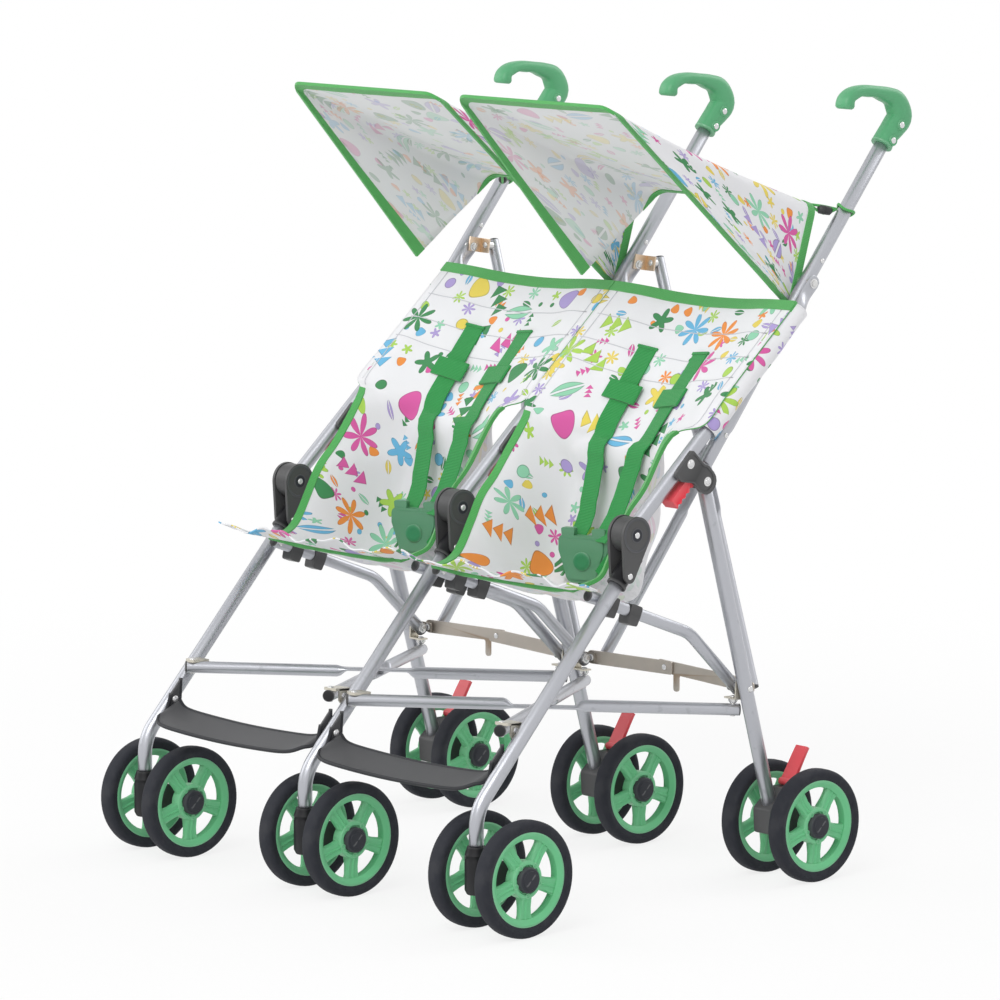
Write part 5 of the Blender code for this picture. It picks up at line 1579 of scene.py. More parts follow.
    def _pivot(self) -> Vector:
        """The pivot of the foot lever, in the side view."""
        return LAY.rear_axle + Vector((-0.006, self.pivot_rise))

    def _housing(self, front: float) -> None:
        """Make the brake housing and the axle.

        Args:
            front: The y of the leg's foot.
        """
        axle_y, axle_z = LAY.rear_axle
        pivot = self._pivot()
        low = pivot[1] - self.pivot_radius - LAY.gap
        outline = rounded((
            (front - 0.016, axle_z - 0.012, 0.006), (axle_y + 0.013, axle_z - 0.016, 0.010),
            (axle_y + 0.016, axle_z + 0.016, 0.008), (pivot[0] + 0.006, low, 0.003),
            (pivot[0] - 0.016, low, 0.003), (front - 0.018, axle_z + 0.022, 0.006)))
        housing = Form().panelled(outline, self.x, self.housing_half, self.panel_share)
        self.add("brake_housing", housing, BLACK, bevel=0.0012)
        self.add("rear_axle", LAY.axle_pin(self.x, LAY.rear_axle), FASTENER)

    def _pedal(self) -> None:
        """Make the red foot lever with its treads."""
        x, pivot, body = self.x, self._pivot(), f"brake_lever_{self.label}"
        direction = heading(self.pedal_slope)
        normal = across(direction)
        lever = Form()
        stations = []
        for share in (0.0, 0.2, 0.45, 0.7, 0.88, 1.0):
            bow = 0.0015 * math.cos(share * math.pi) - 0.0015
            point = pivot + direction * self.pedal_length * share + normal * bow
            stations.append((at(x, point), X * (self.pedal_half - 0.0012 * share)))
        lever.strip(stations, self.pedal_thick)
        wide, thick = self.tread_half, self.tread
        for share in (0.80, 0.88, 0.96):
            y, z = pivot + direction * self.pedal_length * share - normal * 0.0044
            lever.box((x - wide, y - thick, z - thick), (x + wide, y + thick, z + thick))
        lever.pin(at(x, pivot), X, -self.pedal_half, self.pedal_half, self.pivot_radius)
        self.piece(f"brake_pedal_{self.label}", lever, RED, body, body, bevel=0.0006)


def hanging_strap(x: float, side: float) -> tuple[Form, Form]:
    """The steel strap that hangs from a rail bolt and turns out over the end of a bar.

    Args:
        x: The frame's x.
        side: Which way the strap turns out.

    Returns:
        The strap, and its spacer with the rivet.
    """
    forward, up = LAY.scissor_ways()
    drop = (LAY.rail_bolt - LAY.scissor_rear).dot(up)
    low = LAY.bar + LAY.open_gap
    top = low + LAY.brace_spacer + LAY.strap_thick
    inner = LAY.tube + LAY.gap
    outer = LAY.scissor + LAY.strap_half
    half, thick = LAY.strap_half, LAY.strap_thick
    outline = ((inner, drop + half), (inner + thick, drop + half), (inner + thick, top), (outer, top),
               (outer, top - thick), (inner, top - thick))
    shift = (LAY.rail_bolt - LAY.scissor_rear).dot(forward) - half
    strap = Form().plate(outline, at(x, LAY.scissor_rear + shift * forward), X * side, side_axis(up),
                         side_axis(forward) * 2 * half)
    eye = at(x + side * LAY.scissor, LAY.scissor_rear)
    head = Form().turned(((0.004, low), (LAY.spacer, low + 0.003), (LAY.spacer, top - thick + LAY.joint)),
                         eye, side_axis(up), 20)
    head.dome(eye + side_axis(up) * top, side_axis(up))
    return strap, head


@dataclass
class FrontLeg(FramePart):
    """Front leg: the long tube with its bend, and the black knuckle at its top."""

    BODY: ClassVar[str] = "front_leg"
    NODE: ClassVar[str] = "front_leg"

    neck: float = 0.0125
    neck_reach: float = 0.352
    neck_length: float = 0.046
    cheek: float = 0.0238
    cheek_thick: float = 0.0042
    cheek_foot: float = 0.016
    cheek_small: float = 0.009

    def build(self) -> None:
        """Make the tube, the neck, both cheeks and their rivets."""
        neck_end = LAY.front_bend + self.neck_reach * LAY.front_way
        bottom = Vector((LAY.front_bend[0], LAY.collar_z + LAY.gap))
        path = bent([neck_end + 0.004 * LAY.front_way, LAY.front_bend, bottom], LAY.bend, 12)
        self.add("front_tube", Form().tube([at(self.x, point) for point in path], LAY.tube), TUBE)
        neck = Form().turned(((self.neck * 0.90, -0.0008), (self.neck * 1.06, 0.0), (self.neck * 1.06, 0.003),
                              (self.neck, 0.0042), (self.neck, self.neck_length)), at(self.x, neck_end),
                             side_axis(LAY.front_way), 28)
        self.add("knuckle_neck", neck, BLACK)
        inner = LAY.hub_half + LAY.gap
        foot = neck_end + self.cheek_foot * LAY.front_way
        cheeks, rings, rivets = Form(), Form(), Form()
        for side in BOTH:
            cheeks.plate(self._teardrop(foot), X * (self.x + side * inner), Y, Z, X * side * self.cheek_thick)
            face_x = self.x + side * (inner + self.cheek_thick)
            face = at(face_x, LAY.knuckle)
            rings.turned(((self.cheek * 0.94, -0.001), (self.cheek * 0.94, 0.0006), (self.cheek * 0.86, 0.0010),
                          (self.cheek * 0.80, 0.0002), (self.cheek * 0.80, -0.001)), face, X * side, 36, looped=True)
            rings.turned(((self.cheek * 0.40, -0.001), (self.cheek * 0.40, 0.0006), (self.cheek * 0.30, 0.0009)),
                         face, X * side, 28)
            rivets.dome(face + X * side * 0.0006, X * side)
            rivets.dome(at(face_x, foot), X * side)
        self.add("knuckle_cheeks", cheeks, BLACK, bevel=0.0009)
        self.add("knuckle_rings", rings, CAP)
        self.add("knuckle_rivets", rivets, FASTENER)

    def _teardrop(self, foot: Vector) -> list[Vector]:
        """Outline of a cheek: a disc round the knuckle that narrows to its lower rivet.

        Args:
            foot: The lower rivet.

        Returns:
            Points of the outline.
        """
        way = foot - LAY.knuckle
        axis = way.normalized()
        normal = across(axis)
        lean = math.acos((self.cheek - self.cheek_small) / way.length)
        points = []
        arcs = ((LAY.knuckle, self.cheek, lean, 2 * math.pi - 2 * lean, 32),
                (foot, self.cheek_small, -lean, 2 * lean, 12))
        for middle, radius, start, run, steps in arcs:
            for index in range(steps + 1):
                turn = start + run * index / steps
                points.append(middle + (axis * math.cos(turn) + normal * math.sin(turn)) * radius)
        return points


@dataclass
class Caster(FramePart):
    """Swivel housing with its trailing arm and the front axle."""

    BODY: ClassVar[str] = "caster"
    NODE: ClassVar[str] = "caster"

    arm_half: float = 0.018
    panel_share: float = 0.70
    barrel: float = 0.015

    def build(self) -> None:
        """Make the barrel, the arm and the axle."""
        y = LAY.front_bend[0]
        axle_y, axle_z = LAY.front_axle
        barrel = Form().turned(((0.0115, 0.054), (0.0125, 0.0548), (self.barrel, 0.060), (self.barrel, 0.098),
                                (self.barrel * 0.94, 0.0995), (self.barrel * 0.94, 0.103), (self.barrel, 0.1045),
                                (0.0125, 0.112), (0.0118, LAY.collar_z)), Vector((self.x, y, 0.0)), Z, 36)
        self.add("caster_barrel", barrel, BLACK)
        outline = rounded(((y - 0.004, 0.062, 0.003), (axle_y + 0.010, axle_z - 0.016, 0.008),
                           (axle_y + 0.014, axle_z + 0.012, 0.008), (y + 0.010, 0.102, 0.006),
                           (y - 0.004, 0.102, 0.0)))
        self.add("caster_arm", Form().panelled(outline, self.x, self.arm_half, self.panel_share), BLACK, bevel=0.0014)
        self.add("front_axle", LAY.axle_pin(self.x, LAY.front_axle), FASTENER)


@dataclass
class WheelSet(SubAssembly):
    """The twelve wheels: foam tyre, mint rim with five ridged spokes, dark cap."""

    width: float = 0.024
    tyre_depth: float = 0.0145
    spokes: int = 5
    spoke_half: float = 0.0098
    hub: float = 0.0245
    cap: float = 0.0165
    crescents: int = 20
    crescent_span: float = 0.20

    def build(self) -> None:
        """Make each wheel's three pieces from shared meshes."""
        meshes = {side: self._meshes(side) for side in BOTH}
        for frame in Frame:
            for axle, place in ((Axle.FRONT, LAY.front_axle), (Axle.REAR, LAY.rear_axle)):
                for side, hand in ((-1.0, "a"), (1.0, "b")):
                    label = f"{axle.value}_{frame.label}_{hand}"
                    node = f"wheel_{label}"
                    centre = at(LAY.frame_x(frame) + side * LAY.pair / 2, place)
                    for word, (mesh, finish) in meshes[side].items():
                        self.hang(f"{word}_{label}", mesh, finish, node, (node,), centre)

    def _meshes(self, side: float) -> dict[str, tuple[bpy.types.Mesh, Finish]]:
        """The meshes of one wheel about the X axis.

        Args:
            side: Which way its cap looks.

        Returns:
            Mesh and finish of each piece.
        """
        return {"tyre": (self._tyre().data("tyre", TYRE), TYRE), "rim": (self._rim().data("rim", MINT, 30), MINT),
                "cap": (self._cap(side).data("cap", CAP), CAP)}

    def _tyre(self) -> Form:
        """The tyre, with a row of raised crescents on each wall.

        Returns:
            The tyre's form.
        """
        radius, half = LAY.wheel, self.width / 2
        inner = radius - self.tyre_depth
        profile = [(inner - 0.001, -half * 0.72), (inner + 0.0015, -half * 0.80), (radius - 0.0085, -half * 0.97),
                   (radius - 0.0050, -half), (radius - 0.0018, -half * 0.86), (radius - 0.0004, -half * 0.60),
                   (radius, -half * 0.30)]
        profile += [(a, -b) for a, b in profile[::-1]]
        form = Form().turned(profile, ORIGIN, X, 72, looped=True)
        for side in BOTH:
            for index in range(self.crescents):
                middle = 2 * math.pi * index / self.crescents
                stations = []
                for step in range(7):
                    share = step / 6 - 0.5
                    turn = middle + share * self.crescent_span
                    bulge = 4 * share * share
                    outward = Vector((0.0, math.cos(turn), math.sin(turn)))
                    point = outward * (radius - 0.0060 - 0.0045 * (1 - bulge))
                    rise = half * (0.985 - 0.10 * (1 - bulge))
                    stations.append((point + X * side * rise, outward * 0.0007 * (1.2 - bulge * 0.9)))
                form.strip(stations, 0.0010)
        return form

    def _rim(self) -> Form:
        """The rim ring, five spokes with a raised ridge, and the dished hub.

        Returns:
            The rim's form.
        """
        inner = LAY.wheel - self.tyre_depth
        half = LAY.rim_width / 2
        form = Form().turned(((inner, -half), (inner, half), (inner - 0.0025, half + 0.0006), (inner - 0.0045, half),
                              (inner - 0.0095, half * 0.62), (inner - 0.0100, 0.0), (inner - 0.0095, -half * 0.62),
                              (inner - 0.0045, -half), (inner - 0.0025, -half - 0.0006)), ORIGIN, X, 72, looped=True)
        for index in range(self.spokes):
            turn = 2 * math.pi * (index + 0.75) / self.spokes
            out = Vector((0.0, math.cos(turn), math.sin(turn)))
            over = X.cross(out)
            rings = []
            for reach, wide, thick in ((0.016, 1.0, 1.0), (0.026, 0.92, 0.92), (0.036, 0.94, 0.70),
                                       (0.046, 1.06, 0.62), (0.0535, 1.30, 0.66)):
                w, t = self.spoke_half * wide, half * thick * 0.78
                section = ((-w, -t * 0.45), (-w * 0.80, -t), (-w * 0.22, -t * 0.86), (0.0, -t * 1.18),
                           (w * 0.22, -t * 0.86), (w * 0.80, -t), (w, -t * 0.45))
                section += tuple((a, -b) for a, b in section[::-1])
                rings.append([out * reach + over * a + X * b for a, b in section])
            form.loft(rings)
            for way in BOTH:
                form.turned(((0.0036, -0.003), (0.0036, 0.0012), (0.0022, 0.0012), (0.0018, -0.0010)),
                            out * 0.0205 + X * way * half * 0.80, X * way, 14)
        dish = ((self.hub, 0.72), (self.hub - 0.0012, 0.86), (self.hub - 0.0050, 0.90), (self.cap + 0.0012, 0.60),
                (0.0046, 0.60))
        profile = [(self.hub, -half * 0.72), *((radius, half * share) for radius, share in dish),
                   *((radius, -half * share) for radius, share in dish[:0:-1])]
        return form.turned(profile, ORIGIN, X, 48, looped=True)

    def _cap(self, side: float) -> Form:
        """The dark hub cap, stepped and slightly domed.

        Args:
            side: Which way it looks.

        Returns:
            The cap's form.
        """
        face = LAY.rim_width / 2 * 0.60
        rise = LAY.rim_width / 2 + 0.0058
        profile = ((self.cap, face), (self.cap, rise - 0.0036), (self.cap * 0.95, rise - 0.0022),
                   (self.cap * 0.80, rise - 0.0012), (self.cap * 0.74, rise - 0.0012),
                   (self.cap * 0.70, rise - 0.0004), (self.cap * 0.40, rise), (0.0010, rise))
        form = Form().turned(profile, ORIGIN, X * side, 40)
        inner = ((0.0100, face - 0.0004), (0.0100, face + 0.0022), (0.0072, face + 0.0034),
                 (0.0050, face + 0.0034), (0.0050, face - 0.0004))
        return form.turned(inner, ORIGIN, X * -side, 32, looped=True)


# Crossed bars

@dataclass
class CrossedBars(SeatPart):
    """Everything that crosses between two frames: bars, braces, brackets and lock bars."""

    overhang: float = 0.010
    plug_gap: float = 0.0022
    flat_high: float = 0.0026
    flat_wide: float = 0.0102
    scissor_flat: float = 0.040
    brace_flat: float = 0.056
    taper: float = 0.014
    lock_high: float = 0.018
    lock_thick: float = 0.0022
    lock_lap: float = 0.015
    lock_rise: float = 0.005
    lock_drop: float = 0.022
    lock_tab: float = 0.010
    eye: float = 0.0105

    def build(self) -> None:
        """Make the bars under the seat, the braces behind it, and the lock bars."""
        self._scissors()
        self._braces()
        self._locks()

    def _bar(self, name: str, start: Vector, end: Vector, normal: Vector, level: int, flat: float, body: str,
             node: str) -> None:
        """Make a tube between two pivots, pressed flat where it crosses its partner.

        Args:
            name: The piece's name.
            start: One pivot.
            end: The other pivot.
            normal: Direction square to both bars.
            level: 1 for the bar on the normal's side, -1 for the other.
            flat: Half the length of the flat stretch.
            body: The body that it rides on.
            node: The node that it stands for.
        """
        way = (end - start).normalized()
        middle = (start + end) / 2
        lift = normal * level * (self.flat_high + LAY.gap)
        first, last = start - way * self.overhang, end + way * self.overhang
        round_half = flat + self.taper
        stations = [(first + way * self.plug_gap, LAY.bar, LAY.bar), (middle - way * round_half, LAY.bar, LAY.bar)]
        shares = (0.25, 0.5, 0.75, 1.0)
        for hand, order in ((-1.0, shares), (1.0, shares[::-1])):
            for share in order:
                ease, reach = eased(share), round_half - self.taper * share
                stations.append((middle + way * reach * hand + lift * ease,
                                 LAY.bar + (self.flat_wide - LAY.bar) * ease,
                                 LAY.bar + (self.flat_high - LAY.bar) * ease))
        stations += [(middle + way * round_half, LAY.bar, LAY.bar), (last - way * self.plug_gap, LAY.bar, LAY.bar)]
        self.piece(name, Form().sweep(stations, normal.cross(way)), TUBE, body, node)
        plugs = Form()
        for place, axis in ((first, -way), (last, way)):
            plugs.turned(((LAY.bar * 0.9, -0.006), (LAY.bar * 0.9, -0.0020), (LAY.bar * 0.98, -0.0020),
                          (LAY.bar * 0.98, -0.0006), (LAY.bar * 0.8, 0.0)), place, axis, 24)
        self.piece(f"{name}_plugs", plugs, BLACK, body, node)
        face = middle + normal * level * (2 * self.flat_high + LAY.gap)
        rivets = Form().dome(face, normal * level)
        for pivot in (start, end):
            for way_out in BOTH:
                rivets.dome(pivot + normal * way_out * LAY.bar * 0.96, normal * way_out, 0.0038, 0.0014)
        self.piece(f"{name}_rivets", rivets, FASTENER, body, node)

    def _scissors(self) -> None:
        """Make the two bars under the seat, their front brackets and the middle strap."""
        side, label = self.sign, self.label
        up = side_axis(LAY.scissor_ways()[1])
        near, far = side * LAY.scissor, side * (LAY.spacing - LAY.scissor)
        rear, front = LAY.scissor_rear, LAY.scissor_front
        self._bar(f"seat_bar_{label}_a", at(near, rear), at(far, front), up, 1, self.scissor_flat,
                  f"scissor_{label}_a", f"scissor_bar_{label}_a")
        self._front_bracket(f"seat_bar_bracket_{label}_a", side * LAY.spacing, -side, f"scissor_{label}_a")
        self._bar(f"seat_bar_{label}_b", at(far, rear), at(near, front), up, -1, self.scissor_flat,
                  f"scissor_{label}_b", f"scissor_bar_{label}_b")
        self._front_bracket(f"seat_bar_bracket_{label}_b", 0.0, side, f"scissor_{label}_b")
        strap, head = hanging_strap(0.0, side)
        body = f"scissor_bracket_{label}"
        self.add("middle_strap", strap, ZINC, body, body, bevel=0.0004)
        self.add("middle_strap_rivet", head, FASTENER, body, body)

    def _front_bracket(self, name: str, frame_x: float, side: float, body: str) -> None:
        """Make the angle bracket on the front end of a bar.

        Args:
            name: The piece's name.
            frame_x: The x of the front leg beside it.
            side: Which way the bar goes from there.
            body: The body that it rides on.
        """
        forward, up = LAY.scissor_ways()
        over, ahead, above = X * side, side_axis(forward), side_axis(up)
        pivot = at(frame_x + side * LAY.scissor, LAY.scissor_front)
        leg_face = LAY.scissor - LAY.tube
        outside = -(leg_face - 0.0038)
        inside = outside - LAY.strap_thick
        back, half = -0.022, LAY.strap_half
        seat = LAY.bar - LAY.joint
        thick = LAY.strap_thick + LAY.joint
        form = Form().plate(
            ((inside, back), (half, back), (half, half * 0.6), (half * 0.4, half), (-half * 0.6, half),
             (inside, half * 0.2)), pivot + above * seat, over, ahead, above * thick)
        top = seat + LAY.strap_thick
        form.plate(((back + 0.0005, top), (-0.0045, top), (-0.0045, -0.006), (-0.008, -0.010), (-0.018, -0.010),
                    (back + 0.0005, -0.006)), pivot + over * inside, ahead, above, over * LAY.strap_thick)
        self.piece(name, form, ZINC, body, bevel=0.0004)
        bolt = pivot + ahead * (back - 0.0045) / 2 + over * inside
        fixings = Form().turned(((LAY.spacer, -LAY.joint), (0.0024, leg_face + inside - 2 * LAY.gap)), bolt, -over, 20)
        fixings.dome(bolt + over * LAY.strap_thick, over)
        fixings.dome(pivot + above * (seat + thick), above)
        self.piece(f"{name}_rivets", fixings, FASTENER, body)

    def _braces(self) -> None:
        """Make the two braces behind the seat and their top brackets."""
        side, label = self.sign, self.label
        back = side_axis(LAY.brace_ways()[1])
        near, far = side * LAY.brace, side * (LAY.spacing - LAY.brace)
        self._bar(f"brace_{label}_a", at(near, LAY.brace_top), at(far, LAY.brace_foot), back, 1, self.brace_flat,
                  f"back_brace_{label}_a", f"back_brace_{label}_a")
        self._bar(f"brace_{label}_b", at(far, LAY.brace_top), at(near, LAY.brace_foot), back, -1, self.brace_flat,
                  f"back_brace_{label}_b", f"back_brace_{label}_b")
        self._brace_bracket(f"brace_plate_{label}", 0.0, side, -LAY.bar - LAY.gap, f"brace_bracket_{label}",
                            f"brace_bracket_{label}")
        self._brace_bracket(f"brace_plate_{label}_outer", side * LAY.spacing, -side, -LAY.bar + 0.0024,
                            f"back_brace_{label}_b")

    def _brace_bracket(self, name: str, frame_x: float, side: float, spacer_end: float, body: str,
                       *nodes: str) -> None:
        """Make the bent copper plate from a handle tube's bolt to the top of a brace.

        Args:
            name: The piece's name.
            frame_x: The x of the handle tube.
            side: Which way the brace lies from there.
            spacer_end: Height at which the spacer ends over the brace's axis.
            body: The body that it rides on.
            nodes: Nodes that it stands for.
        """
        down, rearward = LAY.brace_ways()
        over, back, up = X * side, side_axis(rearward), -side_axis(down)
        pivot = at(frame_x, LAY.brace_top)
        bolt_back = (LAY.brace_bolt - LAY.brace_top).dot(rearward)
        bolt_up = -(LAY.brace_bolt - LAY.brace_top).dot(down)
        wing = -(LAY.bar + LAY.gap + LAY.brace_spacer)
        front = wing - LAY.strap_thick
        inner, outer = LAY.brace_wing, LAY.brace + LAY.strap_half
        outline = ((inner, bolt_back - LAY.strap_half), (inner + LAY.strap_thick, bolt_back - LAY.strap_half),
                   (inner + LAY.strap_thick, front), (outer, front), (outer, wing), (inner, wing))
        low = bolt_up - 0.006
        form = Form().plate(outline, pivot + up * low, over, back, up * (0.009 - low))
        self.piece(name, form, COPPER, body, *nodes, bevel=0.0005)
        eye = pivot + over * LAY.brace
        bolt = at(frame_x, LAY.brace_bolt) + over * (inner + LAY.strap_thick)
        fixings = Form().pin(eye, back, wing - LAY.joint, spacer_end, LAY.spacer)
        fixings.hex_head(bolt, over, 0.0056)
        fixings.dome(eye + back * front, -back)
        self.piece(f"{name}_fixings", fixings, FASTENER, body, bevel=0.0002)

    def _locks(self) -> None:
        """Make the two lapped halves of the lock bar."""
        side, label = self.sign, self.label
        _, first, second, _ = RearLeg().layers()
        z, middle, half = LAY.rail_bolt[1], LAY.spacing / 2, self.lock_high / 2
        for word, frame_x, way, layer in (("inner", 0.0, 1.0, first), ("outer", LAY.spacing, -1.0, second)):
            hinge_x = frame_x + way * LAY.brace
            run = abs(middle + way * self.lock_lap - hinge_x)
            corners = [(-self.eye, -half, half * 0.9), (run, self.lock_rise - half, 0.004),
                       (run, self.lock_rise + half, 0.004), (-self.eye, half, half * 0.9)]
            if word == "outer":
                tab = run - 2 * self.lock_lap
                low = self.lock_rise - half
                corners[1:2] = [(tab - self.lock_tab, low, 0.003), (tab - self.lock_tab, low - self.lock_drop, 0.004),
                                (tab, low - self.lock_drop, 0.004), (tab, low, 0.0), (run, low, 0.004)]
            hinge = Vector((side * hinge_x, layer, z))
            out = X * side * way
            form = Form().plate(rounded(corners), hinge, out, Z, Y * self.lock_thick)
            body, node = f"lock_{label}_{word}", f"lock_bar_{label}_{word}"
            self.piece(f"lock_blade_{label}_{word}", form, BRONZE, body, node, bevel=0.0005)
            fixings = Form()
            for face, way_out in ((layer, -Y), (layer + self.lock_thick, Y)):
                fixings.dome(Vector((hinge.x, face, z)), way_out, 0.0050, 0.0006)
            outward = -Y if word == "inner" else Y
            face = layer if word == "inner" else layer + self.lock_thick
            fixings.dome(Vector((side * middle, face, z + self.lock_rise)), outward)
            self.piece(f"lock_rivets_{label}_{word}", fixings, FASTENER, body)


# Soft parts

def crumple(piece: bpy.types.Object) -> None:
    """Give a soft piece its own copy of its mesh."""
    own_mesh(piece)


def thicken(piece: bpy.types.Object, thickness: float, *others: Finish) -> None:
    """Give a sheet two faces and a rim.

    Args:
        piece: The sheet.
        thickness: How thick the cloth is.
        others: Finish of the far face, then of the rim.
    """
    for finish in others:
        piece.data.materials.append(finish.material())
    solid = piece.modifiers.new("cloth", "SOLIDIFY")
    solid.thickness = thickness
    solid.offset = 0.0
    solid.material_offset = 1 if others else 0
    solid.material_offset_rim = 2 if len(others) > 1 else 0
    applied = bpy.data.meshes.new_from_object(piece.evaluated_get(bpy.context.evaluated_depsgraph_get()))
    piece.modifiers.clear()
    piece.data = applied


@dataclass
class Footrest(SeatPart):
    """Dark sling between two front legs, with rolled edges and ears riveted to the legs."""

    rivet_z: float = 0.209
    ear_top: float = 0.018
    ear_width: float = 0.026
    depth: float = 0.054
    thick: float = 0.0026
    sag: float = 0.023
    forward: float = 0.026
    tilt: float = 16.0

    def build(self) -> None:
        """Make the sling, its rolled edges and rivets."""
        label = self.label
        body, node = "front_leg_middle", f"footrest_{label}"
        stations = self._stations()
        sling = self.add("heel_sling", Form().strip(stations, self.thick), SLING, body, node)
        rolls = Form()
        for edge in BOTH:
            rolls.tube([point + half * edge * 0.97 for point, half in stations], self.thick, Y, 12)
        roll = self.add("heel_sling_rolls", rolls, SLING, body)
        rivets = Form()
        ear = LAY.tube + LAY.gap + self.thick
        y = stations[0][0].y - 0.002
        for x, way in ((ear, 1.0), (LAY.spacing - ear, -1.0)):
            rivets.dome(Vector((self.sign * x, y, self.rivet_z)), X * self.sign * way, 0.0050, 0.0020)
        rivet = self.add("heel_sling_rivets", rivets, FASTENER, body)
        length = sum((b[0] - a[0]).length for a, b in zip(stations, stations[1:]))
        area = sum((b[0] - a[0]).length * (a[1].length + b[1].length) for a, b in zip(stations, stations[1:]))
        for piece in (sling, roll, rivet):
            crumple(piece)

    def _stations(self) -> list[tuple[Vector, Vector]]:
        """Where the sling runs, from ear to ear.

        Returns:
            Its middles and half-width vectors.
        """
        leg_y = LAY.front_bend[0] + (self.rivet_z - LAY.front_bend[1]) / math.tan(math.radians(LAY.front_slope))
        ear = LAY.tube + LAY.gap + 0.0015
        ear_half = side_axis(LAY.front_way) * self.ear_width / 2
        band_half = side_axis(heading(self.tilt)) * self.depth / 2
        low = self.rivet_z - self.sag
        half = []
        for reach, z, share in ((ear, self.rivet_z + self.ear_top, 0.0), (ear, self.rivet_z - 0.006, 0.2),
                                (ear + 0.006, low + 0.012, 0.6), (ear + 0.024, low + 0.005, 0.9),
                                (ear + 0.070, low + 0.002, 1.0)):
            half.append((Vector((reach, leg_y - self.forward * share, z)), ear_half.lerp(band_half, share)))
        middle = [(Vector((LAY.spacing / 2, leg_y - self.forward, low)), band_half)]
        far = [(Vector((LAY.spacing - point.x, point.y, point.z)), width) for point, width in half[::-1]]
        coarse = half + middle + far
        points = smooth_path([point for point, _ in coarse], 6)
        widths = smooth_path([width for _, width in coarse], 6)
        return [(Vector((self.sign * point.x, point.y, point.z)), width)
                for point, width in zip(points, widths)]


